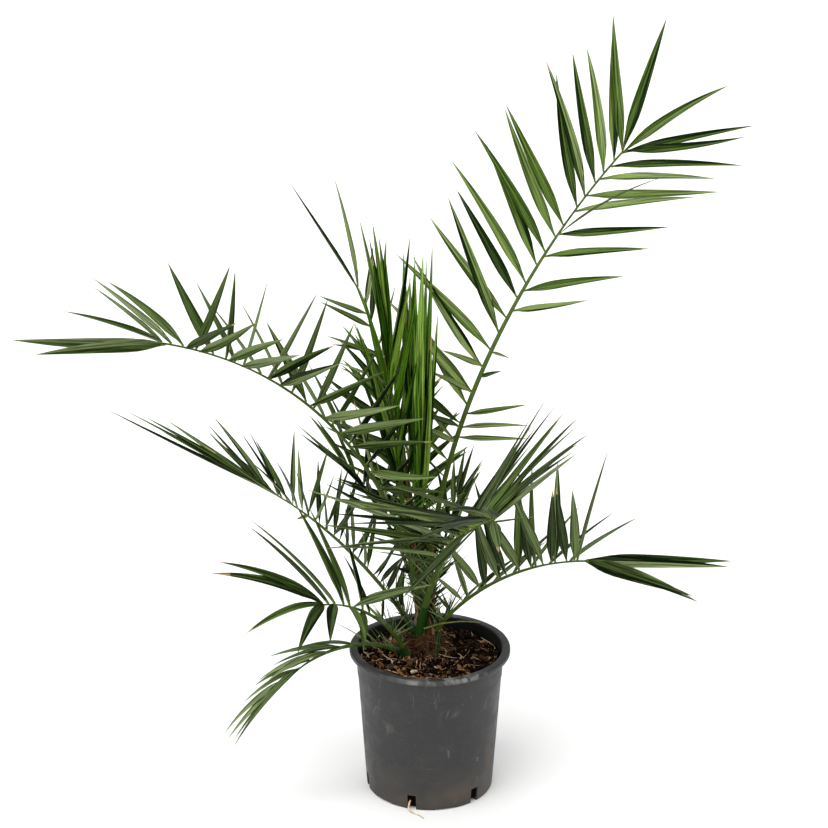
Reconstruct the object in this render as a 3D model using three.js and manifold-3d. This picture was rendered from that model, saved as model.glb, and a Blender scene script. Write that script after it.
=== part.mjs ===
// Young date palm in a nursery pot. Millimetres, +Z up, origin at the centre of the pot's underside.
// +X is the plant's right and +Y its back, so the low fronds over the rim reach to the left and the front.
import * as THREE from 'three';
import { mergeVertices } from 'three/addons/utils/BufferGeometryUtils.js';
import Module from 'manifold-3d';

const wasm = await Module();
wasm.setup();

// ---------------------------------------------------------------- driving dimensions

const GAP = 0.4; // clearance between neighbouring solids

const POT = {
  height: 206.5,
  rimRadius: 110,
  baseRadius: 87.2,
  wallRadiusAtLip: 100.5, // outside of the wall just under the lip
  lipHeight: 8,
  lipRounding: 1.5,
  wall: 2.2,
  floor: 3,
  footRounding: 2,
  bandDrop: 31, // from the lip's lower edge to the moulded ring
  bandStep: 0.8,
  segments: 60,
};
const SLOT = { count: 6, width: 12, height: 22, inset: 9, firstAngle: -106 };
const NOTCH = { width: 27, height: 2, inset: 5 };

const SOIL = { level: 190, mound: 5, ripple: 2.2, rings: 6, segments: 36 };
const HEAP = { x: -7, y: -6, height: 15, spread: 27 }; // the mix heaped up round the stem
const CROWN_BASE = { x: -5, y: 1, footRadius: 27, topRadius: 17, top: 229, sunk: 6, segments: 14 };
// The furled leaf: a limb that leans from lean[0] to lean[1], with its widest place at the share bellyAt.
const SPEAR = {
  foot: [-7, -2, 229.5], azimuth: 180, lean: [84, 91], ease: 0.5, length: 530,
  footRadius: 6, bellyRadius: 15, bellyAt: 0.66, tipRadius: 9,
};

const PETIOLE = { footRadius: 6.5, endRadius: 3.4, sides: 6, rows: 9 };
const BLADE = { ribThickness: 5.5, edgeThickness: 2, rows: 21, columns: 2, tipCrowding: 1.5 };
const LAW_STEPS = 48; // steps in which a frond's curve is added up
const SPINE_SHARE = 0.18; // length of the lowest leaflets against the full ones
const LONGER_FROM = 0.75; // where along the blade the tip leaflets start to lengthen, at the earliest
const GROWTH = 2; // how late in that stretch they do most of it

// Each frond leaves its foot at an azimuth (from +X towards +Y) and leans over from lean[0] to lean[1],
// both in degrees above the ground. It turns by swing on the way and rolls by twist about its rib.
// bare is the share of the length without leaflets, and rise the share of the blade in which they grow to
// full length. Each side has the leaflets' angle to the rib (sweep) and their rise out of the blade's plane
// (lift), at the foot, the middle and the tip, and their length in the middle and at the tip (reach). Past
// the share tipFrom of the blade both angles go over to their values at the tip. A side may have a tipFrom of
// its own, and a longerFrom and growth that stand in for LONGER_FROM and GROWTH.
const FRONDS = {
  tall_right: {
    foot: [2, 9, 215], azimuth: 28, swing: 13, lean: [98, 34], ease: 0.83, length: 747, bare: 0.27,
    twist: 26, rise: 0.4, pieces: 3, tipFrom: 0.65,
    left: { sweep: [58, 60, 30], lift: [30, 22, 20], reach: [190, 204] },
    right: { sweep: [90, 64, 34], lift: [5, 10, 10], reach: [105, 182], tipFrom: 0.96, longerFrom: 0.45, growth: 0.6 },
  },
  high_left: {
    foot: [-5, 3, 228], azimuth: 226, swing: -16, lean: [78, 17], ease: 1.25, length: 654, bare: 0.2,
    twist: -20, rise: 0.4, pieces: 3, tipFrom: 0.92,
    left: { sweep: [90, 98, 4], lift: [56, 58, -10], reach: [110, 242] },
    right: { sweep: [84, 72, 25], lift: [50, 42, 15], reach: [122, 118] },
  },
  mid_left: {
    foot: [-13, 5, 217], azimuth: 158, swing: 2, lean: [52, 20], ease: 1.35, length: 305, bare: 0.2,
    twist: 8, rise: 0.4, pieces: 2, tipFrom: 0.65,
    left: { sweep: [70, 80, 12], lift: [56, 50, 24], reach: [122, 226], growth: 4 },
    right: { sweep: [75, 62, 25], lift: [42, 30, 18], reach: [122, 172], growth: 4 },
  },
  low_left: {
    foot: [-27, -16, 190], azimuth: 207, swing: 13, lean: [73, 12], ease: 0.9, length: 191, bare: 0.34,
    twist: -4, rise: 0.9, pieces: 2, tipFrom: 0.65,
    left: { sweep: [60, 75, 28], lift: [64, -12, -14], reach: [95, 150] },
    right: { sweep: [74, 68, 24], lift: [44, 44, 62], reach: [150, 168] },
  },
  low_right: {
    foot: [0, 5, 216], azimuth: 328, swing: -6, lean: [59, 15], ease: 0.88, length: 308, bare: 0.14,
    twist: 0, rise: 0.6, pieces: 2, tipFrom: 0.92,
    left: { sweep: [80, 78, 8], lift: [44, 44, -20], reach: [132, 190] },
    right: { sweep: [80, 68, 15], lift: [52, 68, -30], reach: [130, 205] },
  },
  front: {
    foot: [-12, -5, 222], azimuth: 290, swing: 0, lean: [97, 26], ease: 0.4, length: 392, bare: 0.34,
    twist: 10, rise: 0.3, pieces: 2, tipFrom: 0.65,
    left: { sweep: [75, 56, 24], lift: [34, 34, 44], reach: [180, 200] },
    right: { sweep: [72, 88, 30], lift: [30, 28, 12], reach: [185, 190] },
  },
  draping: {
    foot: [-20, -12, 192], azimuth: 190, swing: 6, lean: [42, -46], ease: 0.9, length: 196, bare: 0.36,
    twist: 0, rise: 0.35, pieces: 2, tipFrom: 0.65,
    left: { sweep: [16, 12, 4], lift: [0, 6, 8], reach: [96, 116] },
    right: { sweep: [20, 13, 7], lift: [0, 0, 0], reach: [90, 130] },
  },
  erect_left: {
    foot: [-7, 13, 226], azimuth: 119, swing: 14, lean: [80, 56], ease: 1.7, length: 482, bare: 0.26,
    twist: 0, rise: 0.5, pieces: 2, tipFrom: 0.92,
    left: { sweep: [72, 58, 15], lift: [5, 5, 0], reach: [86, 176] },
    right: { sweep: [55, 30, 8], lift: [20, 10, 0], reach: [84, 174] },
  },
  centre: {
    foot: [-8, -6, 226], azimuth: 186, swing: 0, lean: [81, 87], ease: 2, length: 410, bare: 0.5,
    twist: -75, rise: 0.15, pieces: 2, tipFrom: 0.65,
    left: { sweep: [16, 11, 5], lift: [20, 20, 10], reach: [158, 180] },
    right: { sweep: [16, 11, 3], lift: [20, 20, 10], reach: [150, 172] },
  },
  back: {
    foot: [2, 14, 214], azimuth: 106, swing: 0, lean: [79, 34], ease: 1, length: 340, bare: 0.3,
    twist: 0, rise: 0.35, pieces: 2, tipFrom: 0.65,
    left: { sweep: [66, 62, 15], lift: [30, 25, 15], reach: [135, 140] },
    right: { sweep: [66, 62, 15], lift: [30, 25, 15], reach: [92, 105] },
  },
  inner_left: {
    foot: [-10, 8, 224], azimuth: 156, swing: 10, lean: [82, 44], ease: 1.2, length: 250, bare: 0.2,
    twist: 0, rise: 0.3, pieces: 1, tipFrom: 0.65,
    left: { sweep: [72, 66, 20], lift: [20, 25, 15], reach: [84, 92] },
    right: { sweep: [72, 66, 20], lift: [20, 25, 15], reach: [84, 92] },
  },
  inner_right: {
    foot: [0, 9, 224], azimuth: 42, swing: -8, lean: [86, 62], ease: 1.2, length: 190, bare: 0.2,
    twist: 0, rise: 0.3, pieces: 1, tipFrom: 0.65,
    left: { sweep: [60, 50, 14], lift: [20, 25, 15], reach: [66, 74] },
    right: { sweep: [60, 50, 14], lift: [20, 25, 15], reach: [66, 74] },
  },
};

const MATERIALS = {
  pot: new THREE.MeshStandardMaterial({ color: 0x46484a, roughness: 0.55, metalness: 0 }),
  soil: new THREE.MeshStandardMaterial({ color: 0x3a2a1e, roughness: 1, metalness: 0 }),
  fibre: new THREE.MeshStandardMaterial({ color: 0x6b4a2c, roughness: 0.95, metalness: 0 }),
  stalk: new THREE.MeshStandardMaterial({ color: 0x6c7d35, roughness: 0.6, metalness: 0 }),
  leaf: new THREE.MeshStandardMaterial({ color: 0x3c5228, roughness: 0.5, metalness: 0 }),
  youngLeaf: new THREE.MeshStandardMaterial({ color: 0x4f8420, roughness: 0.5, metalness: 0 }),
};

// ---------------------------------------------------------------- solids

const radians = THREE.MathUtils.degToRad;
const mix = THREE.MathUtils.lerp;
const clamp01 = (x) => THREE.MathUtils.clamp(x, 0, 1);

// A three.js geometry as a solid, with its shared vertices merged.
function solid(geometry) {
  geometry.deleteAttribute('normal');
  geometry.deleteAttribute('uv');
  const merged = mergeVertices(geometry, 1e-4);
  return new wasm.Manifold(new wasm.Mesh({
    numProp: 3,
    vertProperties: new Float32Array(merged.attributes.position.array),
    triVerts: new Uint32Array(merged.index.array),
  }));
}

function toMesh(name, body, material) {
  const { vertProperties, triVerts } = body.getMesh();
  const geometry = new THREE.BufferGeometry();
  geometry.setAttribute('position', new THREE.BufferAttribute(vertProperties, 3));
  geometry.setIndex(new THREE.BufferAttribute(triVerts, 1));
  geometry.computeVertexNormals();
  const mesh = new THREE.Mesh(geometry, material);
  mesh.name = name;
  return mesh;
}

// Every vertex of a geometry moved to the place that a function of its own place gives.
function reshape(geometry, place) {
  const position = geometry.attributes.position;
  const point = new THREE.Vector3();
  for (let i = 0; i < position.count; i += 1) {
    point.fromBufferAttribute(position, i);
    point.copy(place(point));
    position.setXYZ(i, point.x, point.y, point.z);
  }
  return geometry;
}

function lathe(profile, segments) {
  const points = profile.map(([radius, height]) => new THREE.Vector2(radius, height));
  return new THREE.LatheGeometry(points, segments).rotateX(Math.PI / 2);
}

function largestPiece(body) {
  return body.decompose().sort((a, b) => b.volume() - a.volume())[0];
}

// ---------------------------------------------------------------- pot and soil

function potRadiusAt(z) {
  return mix(POT.baseRadius, POT.wallRadiusAtLip, z / (POT.height - POT.lipHeight));
}

function potBlank() {
  const { height, rimRadius, wall, floor, lipHeight, lipRounding, footRounding, bandStep } = POT;
  const lipFoot = height - lipHeight;
  const bandZ = lipFoot - POT.bandDrop;
  return solid(lathe([
    [0, 0],
    [POT.baseRadius - footRounding, 0],
    [POT.baseRadius, footRounding],
    [potRadiusAt(bandZ), bandZ],
    [potRadiusAt(bandZ) + bandStep, bandZ + bandStep],
    [POT.wallRadiusAtLip, lipFoot],
    [rimRadius - lipRounding, lipFoot],
    [rimRadius, lipFoot + lipRounding],
    [rimRadius, height - lipRounding],
    [rimRadius - lipRounding, height],
    [POT.wallRadiusAtLip, height],
    [POT.wallRadiusAtLip - wall, height - wall],
    [POT.baseRadius - wall, floor],
    [0, floor],
  ], POT.segments));
}

function cutterAt(angle, radius, width, depth, height) {
  const box = new THREE.BoxGeometry(depth, width, height * 2);
  box.translate(radius, 0, 0);
  box.rotateZ(radians(angle));
  return solid(box);
}

function makePot() {
  let pot = potBlank();
  const turn = 360 / SLOT.count;
  const reach = 2 * SLOT.inset;
  for (let i = 0; i < SLOT.count; i += 1) {
    const angle = SLOT.firstAngle + i * turn;
    pot = pot.subtract(cutterAt(angle, POT.baseRadius, SLOT.width, reach, SLOT.height));
    pot = pot.subtract(cutterAt(angle + turn / 2, POT.baseRadius, NOTCH.width, 2 * NOTCH.inset, NOTCH.height));
  }
  return pot;
}

function soilHeightAt(x, y) {
  const away = Math.hypot(x, y) / POT.wallRadiusAtLip;
  const ripple = Math.sin(x / 13 + 1) * Math.cos(y / 17) + 0.6 * Math.sin((x - 2 * y) / 19);
  const heap = Math.exp(-((x - HEAP.x) ** 2 + (y - HEAP.y) ** 2) / HEAP.spread ** 2);
  return SOIL.level + SOIL.mound * (0.5 - away * away) + SOIL.ripple * ripple + HEAP.height * heap;
}

function makeSoil() {
  const foot = POT.floor + GAP;
  const innerRadiusAt = (z) => potRadiusAt(z) - POT.wall - GAP * 2;
  const topRadius = innerRadiusAt(SOIL.level);
  const profile = [[0, foot], [innerRadiusAt(foot) - 1, foot], [innerRadiusAt(SOIL.level - 12), SOIL.level - 12]];
  for (let ring = 0; ring <= SOIL.rings; ring += 1) {
    profile.push([topRadius * (1 - ring / SOIL.rings), SOIL.level]);
  }
  const geometry = lathe(profile, SOIL.segments);
  return solid(reshape(geometry, (p) => (p.z < SOIL.level - 1 ? p : p.setZ(soilHeightAt(p.x, p.y)))));
}

// ---------------------------------------------------------------- crown base and spear

function makeCrownBase(grow = 0) {
  const { footRadius, topRadius, top, sunk, segments } = CROWN_BASE;
  const foot = SOIL.level - sunk;
  const profile = [
    [0, foot - grow],
    [footRadius * 0.8 + grow, foot - grow],
    [footRadius + grow, foot + sunk + 3],
    [mix(footRadius, topRadius, 0.6) + grow, mix(foot, top, 0.6)],
    [topRadius + grow, top - 4],
    [topRadius * 0.6 + grow, top + grow],
    [0, top + grow],
  ];
  const geometry = lathe(profile, segments);
  return solid(geometry.translate(CROWN_BASE.x, CROWN_BASE.y, 0));
}

// ---------------------------------------------------------------- fronds

// The frond's rib, added up in short straight steps from its foot, with the frame at any share s of its length.
function ribOf(frond) {
  const directionAt = (s) => {
    const elevation = radians(mix(frond.lean[0], frond.lean[1], clamp01(s) ** frond.ease));
    const azimuth = radians(frond.azimuth + frond.swing * s);
    const level = Math.cos(elevation);
    return new THREE.Vector3(level * Math.cos(azimuth), level * Math.sin(azimuth), Math.sin(elevation));
  };
  const points = [new THREE.Vector3(...frond.foot)];
  const step = frond.length / LAW_STEPS;
  for (let i = 0; i < LAW_STEPS; i += 1) {
    points.push(points[i].clone().addScaledVector(directionAt((i + 0.5) / LAW_STEPS), step));
  }
  return (s) => {
    const i = Math.min(LAW_STEPS - 1, Math.max(0, Math.floor(s * LAW_STEPS)));
    const azimuth = radians(frond.azimuth + frond.swing * s);
    const along = directionAt(s);
    const level = new THREE.Vector3(-Math.sin(azimuth), Math.cos(azimuth), 0);
    const side = level.applyAxisAngle(along, radians(frond.twist));
    return {
      point: points[i].clone().lerp(points[i + 1], s * LAW_STEPS - i),
      along,
      side,
      up: along.clone().cross(side),
    };
  };
}

// A value given at the foot, the middle and the tip of the blade, level over the middle stretch.
function ofThree([foot, middle, tip], u, tipFrom) {
  const atTip = clamp01((u - tipFrom) / (1 - tipFrom)) ** 1.5;
  return foot + (middle - foot) * clamp01(u / 0.3) + (tip - middle) * atTip;
}

function leafletLength(frond, side, u) {
  const grown = mix(SPINE_SHARE, 1, Math.sin(clamp01(u / frond.rise) * Math.PI / 2));
  const [middle, tip] = side.reach;
  const from = side.longerFrom ?? Math.max(LONGER_FROM, frond.tipFrom);
  return middle * grown + (tip - middle) * clamp01((u - from) / (1 - from)) ** (side.growth ?? GROWTH);
}

function leafletDirection(frond, frame, side, u, hand) {
  const tipFrom = side.tipFrom ?? frond.tipFrom;
  const angle = radians(ofThree(side.sweep, u, tipFrom));
  const rise = radians(ofThree(side.lift, u, tipFrom));
  return frame.along.clone().multiplyScalar(Math.cos(angle))
    .addScaledVector(frame.side, hand * Math.sin(angle) * Math.cos(rise))
    .addScaledVector(frame.up, Math.sin(angle) * Math.sin(rise));
}

// A box whose upper and lower faces are split along the same diagonals, so that a thin twisted sheet made from
// it never crosses itself. The lower faces (group 3) come split the other way.
function makeSheetGrid(rows) {
  const geometry = new THREE.BoxGeometry(2, 2, 1, BLADE.columns, 1, rows);
  const { start, count } = geometry.groups[3];
  for (let i = start; i < start + count; i += 6) {
    const [a, b, d, , c] = [0, 1, 2, 3, 4].map((step) => geometry.index.getX(i + step));
    [a, b, c, a, c, d].forEach((corner, step) => geometry.index.setX(i + step, corner));
  }
  return geometry;
}

// The stretch of blade between two shares of its length: a thin V-shaped sheet that its leaflets span.
function makeBlade(frond, from, to, grow = 0) {
  const rib = ribOf(frond);
  const shareOfGrow = grow / (frond.length * (1 - frond.bare));
  const rows = Math.max(4, Math.round(BLADE.rows * (to - from)));
  const crowding = to === 1 ? BLADE.tipCrowding : 1; // the blade turns fastest at its tip, so the rows lie closer there
  return solid(reshape(makeSheetGrid(rows), ({ x, y, z }) => {
    const u = mix(from - shareOfGrow, to + shareOfGrow, 1 - (0.5 - z) ** crowding);
    const frame = rib(frond.bare + (1 - frond.bare) * u);
    const hand = Math.sign(x);
    const half = mix(BLADE.ribThickness, BLADE.edgeThickness, Math.abs(x)) / 2 + grow;
    const point = frame.point;
    let normal = frame.up;
    if (hand !== 0) {
      const side = hand > 0 ? frond.left : frond.right;
      const direction = leafletDirection(frond, frame, side, u, hand);
      point.addScaledVector(direction, (leafletLength(frond, side, u) + grow) * Math.abs(x));
      normal = frame.along.clone().cross(direction).multiplyScalar(hand).normalize();
    }
    return point.addScaledVector(normal, half * y);
  }));
}

// A tapering round limb along a rib, from one share of its length to another.
function makeLimb(rib, from, to, radiusAt, rows, grow = 0) {
  const geometry = new THREE.CylinderGeometry(1, 1, 1, PETIOLE.sides, rows);
  return solid(reshape(geometry, ({ x, y, z }) => {
    const t = y + 0.5;
    const frame = rib(mix(from, to, t));
    const radius = radiusAt(t) + grow;
    return frame.point.addScaledVector(frame.side, z * radius).addScaledVector(frame.up, x * radius)
      .addScaledVector(frame.along, grow * 2 * y);
  }));
}

function makePetiole(frond, grow = 0) {
  const endShare = frond.bare - GAP / frond.length;
  const radiusAt = (t) => mix(PETIOLE.footRadius, PETIOLE.endRadius, t);
  return makeLimb(ribOf(frond), 0, endShare, radiusAt, PETIOLE.rows, grow);
}

function makeSpear(grow = 0) {
  const { footRadius, bellyRadius, bellyAt, tipRadius } = SPEAR;
  const radiusAt = (t) => {
    const straight = mix(footRadius, tipRadius, t);
    const swell = Math.sin(Math.PI * t ** (Math.log(0.5) / Math.log(bellyAt))) ** 2;
    return straight + (bellyRadius - mix(footRadius, tipRadius, bellyAt)) * swell;
  };
  return makeLimb(ribOf({ ...SPEAR, swing: 0, twist: 0 }), 0, 1, radiusAt, PETIOLE.rows, grow);
}

// ---------------------------------------------------------------- the plant

const palm = new THREE.Group();
const placed = []; // solids already in place, each grown by the clearance

// Cuts a new piece by those already placed, keeps its largest part and adds it to the plant.
function place(name, material, make) {
  let body = make(0);
  for (const other of placed) {
    body = body.subtract(other);
  }
  palm.add(toMesh(name, largestPiece(body), material));
  placed.push(make(GAP));
}

function bladeSpan(frond, index) {
  const inset = GAP / (frond.length * (1 - frond.bare));
  return [index / frond.pieces + inset, (index + 1) / frond.pieces - inset];
}

const pot = makePot();
palm.add(toMesh('pot', pot, MATERIALS.pot));
palm.add(toMesh('soil', makeSoil().subtract(makeCrownBase(GAP)), MATERIALS.soil));
palm.add(toMesh('crown_base', makeCrownBase(), MATERIALS.fibre));
placed.push(pot, makeSoil().translate([0, 0, GAP]), makeCrownBase(GAP));

place('spear', MATERIALS.youngLeaf, makeSpear);
for (const [name, frond] of Object.entries(FRONDS)) {
  place(`${name}_petiole`, MATERIALS.stalk, (grow) => makePetiole(frond, grow));
}
for (const [name, frond] of Object.entries(FRONDS)) {
  const material = name === 'centre' ? MATERIALS.youngLeaf : MATERIALS.leaf;
  for (let index = frond.pieces - 1; index >= 0; index -= 1) {
    const [from, to] = bladeSpan(frond, index);
    place(`${name}_blade_${index + 1}`, material, (grow) => makeBlade(frond, from, to, grow));
  }
}

export default palm;
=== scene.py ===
"""A young date palm in a plastic nursery pot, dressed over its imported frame.

Lengths are in millimetres up to the point where a mesh is made, and +X is the plant's right, +Y its back.
"""
import math
from dataclasses import dataclass

import bpy
import numpy as np
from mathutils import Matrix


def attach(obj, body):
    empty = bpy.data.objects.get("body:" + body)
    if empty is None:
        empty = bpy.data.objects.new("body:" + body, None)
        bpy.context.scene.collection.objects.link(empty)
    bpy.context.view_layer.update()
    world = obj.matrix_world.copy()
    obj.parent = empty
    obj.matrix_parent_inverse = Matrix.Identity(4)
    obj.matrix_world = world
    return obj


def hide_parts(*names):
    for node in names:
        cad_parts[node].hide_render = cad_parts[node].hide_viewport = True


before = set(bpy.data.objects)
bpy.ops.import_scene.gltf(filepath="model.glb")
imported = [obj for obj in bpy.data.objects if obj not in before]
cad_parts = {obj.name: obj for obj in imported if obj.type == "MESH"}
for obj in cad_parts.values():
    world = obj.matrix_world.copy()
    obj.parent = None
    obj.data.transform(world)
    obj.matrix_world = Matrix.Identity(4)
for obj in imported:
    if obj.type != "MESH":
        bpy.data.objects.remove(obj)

MM = 0.001
UP = np.array([0.0, 0.0, 1.0])
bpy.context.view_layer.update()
RANDOM_SEED = 11
# The numbers of the draws for single pieces; the fronds have their own numbers, from 0.
SOIL_DRAWS, CHIP_DRAWS, STRAW_DRAWS, CROWN_DRAWS, SPEAR_DRAWS, WITHERED_DRAWS = range(50, 56)


def dice(*numbers):
    """A random generator for each use, so that the draws for one piece never move another."""
    return np.random.default_rng([RANDOM_SEED, *numbers])


def put_in_scene(name, data):
    thing = bpy.data.objects.new(name, data)
    bpy.context.scene.collection.objects.link(thing)
    return thing


# ---------------- nodes

# The colour sockets of Blender's Mix node, which share their names with its number and vector sockets.
MIX_SHARE = 0
MIX_FIRST = 6
MIX_SECOND = 7
MIX_RESULT = 2


class Nodes:
    """Short calls for the few kinds of node that a material or the world needs."""

    def __init__(self, tree):
        self.tree = tree

    def feed(self, value, socket):
        """A number, a colour of three channels or another node's socket, into a socket."""
        if isinstance(value, bpy.types.NodeSocket):
            self.tree.links.new(value, socket)
        else:
            socket.default_value = (*value, 1.0) if socket.type == "RGBA" else value

    def node(self, kind, inputs, **settings):
        node = self.tree.nodes.new(f"ShaderNode{kind}")
        for key, value in settings.items():
            setattr(node, key, value)
        for key, value in inputs.items():
            self.feed(value, node.inputs[key])
        return node

    def axis(self, vector, name):
        return self.node("SeparateXYZ", {"Vector": vector}).outputs[name]

    def ramp(self, value, low, high, start=0.0, end=1.0, **settings):
        """The value's stretch from low to high as start to end, level outside it."""
        inputs = {"Value": value, "From Min": low, "From Max": high, "To Min": start, "To Max": end}
        return self.node("MapRange", inputs, clamp=True, **settings).outputs["Result"]


class Shader(Nodes):
    """A material with one principled surface."""

    def __init__(self, name, roughness, specular):
        self.material = bpy.data.materials.new(name)
        self.material.use_nodes = True
        super().__init__(self.material.node_tree)
        self.surface = self.tree.nodes["Principled BSDF"].inputs
        self.surface["Roughness"].default_value = roughness
        self.surface["Specular IOR Level"].default_value = specular
        self.bumps = {}

    def place(self, stretch=(1.0, 1.0, 1.0), shift=(0.0, 0.0, 0.0), source=None):
        """Coordinates in metres, the object's own if no others are given, stretched along each axis."""
        if source is None:
            source = self.node("TexCoord", {}).outputs["Object"]
        return self.node("Mapping", {"Vector": source, "Location": shift, "Scale": stretch}).outputs["Vector"]

    def noise(self, scale, detail=3.0, place=None, distortion=0.0):
        inputs = {"Vector": self.place() if place is None else place,
                  "Scale": scale, "Detail": detail, "Distortion": distortion}
        return self.node("TexNoise", inputs).outputs["Fac"]

    def spot(self, middle, half_size):
        """1 at a place on the object, falling to 0 at the surface of an ellipsoid round it."""
        place = self.place([1 / (half * MM) for half in half_size],
                           [-place / half for place, half in zip(middle, half_size)])
        return self.ramp(self.node("VectorMath", {0: place}, operation="LENGTH").outputs["Value"], 1.0, 0.2)

    def times(self, first, second):
        return self.node("Math", {0: first, 1: second}, operation="MULTIPLY").outputs["Value"]

    def blend(self, share, first, second):
        inputs = {MIX_SHARE: share, MIX_FIRST: first, MIX_SECOND: second}
        return self.node("Mix", inputs, data_type="RGBA").outputs[MIX_RESULT]

    def mottle(self, noise, colour, dark, light, low=0.3, high=0.7):
        """A colour between two shares of its own brightness."""
        return self.blend(self.ramp(noise, low, high), darker(colour, dark), darker(colour, light))

    def over(self, tone, colour, noise, low, high, share):
        """A tone with a share of a colour laid over it, growing as the noise goes from low to high."""
        return self.blend(self.ramp(noise, low, high, 0.0, share), tone, colour)

    def colour(self, tone):
        self.feed(tone, self.surface["Base Color"])

    def relief(self, height, depth, strength):
        """Adds a bump whose full height is depth millimetres."""
        inputs = {"Strength": strength, "Distance": depth * MM, "Height": height, **self.bumps}
        self.bumps = {"Normal": self.node("Bump", inputs).outputs["Normal"]}
        self.feed(self.bumps["Normal"], self.surface["Normal"])


def darker(colour, share):
    return tuple(channel * share for channel in colour)


# ---------------- camera and light

FRAME_SIDE = 828  # pixels
FOCAL_LENGTH = 2177  # in the same pixels
SENSOR_WIDTH = 36.0
CAMERA_PLACE = (0.0, -2.7, 1.495)  # metres
CAMERA_PITCH = 19.45  # degrees below the level
CAMERA_YAW = 0.46

WHITE = (1.0, 1.0, 1.0)
WALL_LIGHT = 0.72  # the pale walls round the horizon
CEILING_LIGHT = 0.14
WALL_TOP = 0.27  # sine of the elevation up to which the walls are bright
CEILING_FROM = 0.6
# Each light: azimuth and elevation of where it stands, its strength and its apparent size, in degrees.
SUNS = {
    "key": (-130, 52, 3.3, 60),
    "right": (-35, 42, 1.1, 50),
    "top": (90, 78, 1.7, 60),
}


def facing(pitch, yaw):
    """The rotation of a camera or a light that looks down by pitch, turned left by yaw, in degrees."""
    return math.radians(90 - pitch), 0, math.radians(yaw)


def make_camera():
    data = bpy.data.cameras.new("camera")
    data.sensor_width = SENSOR_WIDTH
    data.lens = FOCAL_LENGTH / FRAME_SIDE * SENSOR_WIDTH
    data.dof.use_dof = False
    camera = put_in_scene("camera", data)
    camera.location = CAMERA_PLACE
    camera.rotation_euler = facing(CAMERA_PITCH, CAMERA_YAW)
    bpy.context.scene.camera = camera


def make_world():
    """A studio whose walls are bright round the horizon and whose ceiling is dim."""
    world = bpy.data.worlds.new("studio")
    world.use_nodes = True
    nodes = Nodes(world.node_tree)
    height = nodes.axis(nodes.node("TexCoord", {}).outputs["Generated"], "Z")
    light = nodes.ramp(height, WALL_TOP, CEILING_FROM, WALL_LIGHT, CEILING_LIGHT,
                       interpolation_type="SMOOTHSTEP")
    background = nodes.tree.nodes["Background"].inputs
    nodes.feed(light, background["Strength"])
    nodes.feed(WHITE, background["Color"])
    bpy.context.scene.world = world
    bpy.context.scene.view_settings.view_transform = "Standard"


def make_suns():
    for name, (azimuth, elevation, strength, size) in SUNS.items():
        data = bpy.data.lights.new(name, "SUN")
        data.energy = strength
        data.angle = math.radians(size)
        put_in_scene(name, data).rotation_euler = facing(elevation, azimuth + 90)


# ---------------- materials

# Darkest and lightest shares of a mottled colour.
SLIGHT = (0.8, 1.2)
STRONG = (0.6, 1.3)
# Noise scales are in lumps for each metre.
LEAF_PATCH_SCALE = 26
LEAF_RIB_SCALE = 400
LEAF_RIB_STRETCH = 0.03  # the ribs run along the blade
MIDRIB_HALF_WIDTH = 0.0013  # metres: the pale line along the middle of a blade, partly its own paler midrib and partly a painted highlight along the fold
GROOVE_SHADE_SHARE = 0.25  # brightness of the painted shade in the grooves between the ribs
SHEEN_GAIN = 1.55
SHEEN_TINT = (0.034, 0.042, 0.018)  # painted highlight: pale streaks along the ribs and down the midrib, where the light would catch
STREAK_SCALE = 120
STREAK_STRETCH = 0.12
SCURF_SCALE = 300


def leaf_material(name, colour, roughness, specular):
    """A leathery blade: fine ribs along it, with painted shade in their grooves and painted highlight streaks
    on their tops, a pale midrib with a painted highlight, and slightly uneven tone.
    """
    shader = Shader(name, roughness, specular)
    sheen_tone = tuple(channel * SHEEN_GAIN + sheen_channel for channel, sheen_channel in zip(colour, SHEEN_TINT))
    blade = shader.node("UVMap", {}, uv_map="Blade").outputs["UV"]
    along = shader.place((1.0, LEAF_RIB_STRETCH, 1.0), source=blade)
    ribs = shader.noise(LEAF_RIB_SCALE, 2.0, along)
    sideways = shader.axis(along, "X")
    from_midrib = shader.times(sideways, sideways)
    tone = shader.mottle(shader.noise(LEAF_PATCH_SCALE, 2.0), colour, *SLIGHT)
    # Painted shade in the grooves between the ribs, then painted highlight streaks along the ribs and down
    # the midrib.
    tone = shader.over(tone, darker(colour, GROOVE_SHADE_SHARE), ribs, 0.48, 0.42, 0.8)
    tone = shader.over(tone, sheen_tone, ribs, 0.54, 0.60, 0.7)
    shader.colour(shader.over(tone, sheen_tone, from_midrib, MIDRIB_HALF_WIDTH ** 2, 0.0, 0.9))
    shader.relief(ribs, 0.25, 0.6)
    return shader.material


def stalk_material(name, colour, scurf):
    """A stalk with streaks along it and specks of brown scurf."""
    shader = Shader(name, 0.45, 0.12)
    streaks = shader.noise(STREAK_SCALE, 3.0, shader.place((1.0, 1.0, STREAK_STRETCH)))
    tone = shader.mottle(streaks, colour, *SLIGHT, 0.35, 0.68)
    shader.colour(shader.over(tone, scurf, shader.noise(SCURF_SCALE), 0.6, 0.8, 0.5))
    shader.relief(streaks, 0.5, 0.5)
    return shader.material


def plain_material(name, colour, roughness, scale=220, depth=0.6, specular=0.25):
    """A dull surface mottled by noise, with relief to match."""
    shader = Shader(name, roughness, specular)
    noise = shader.noise(scale, 4.0)
    shader.colour(shader.mottle(noise, colour, *STRONG))
    shader.relief(noise, depth, 0.8)
    return shader.material


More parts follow.
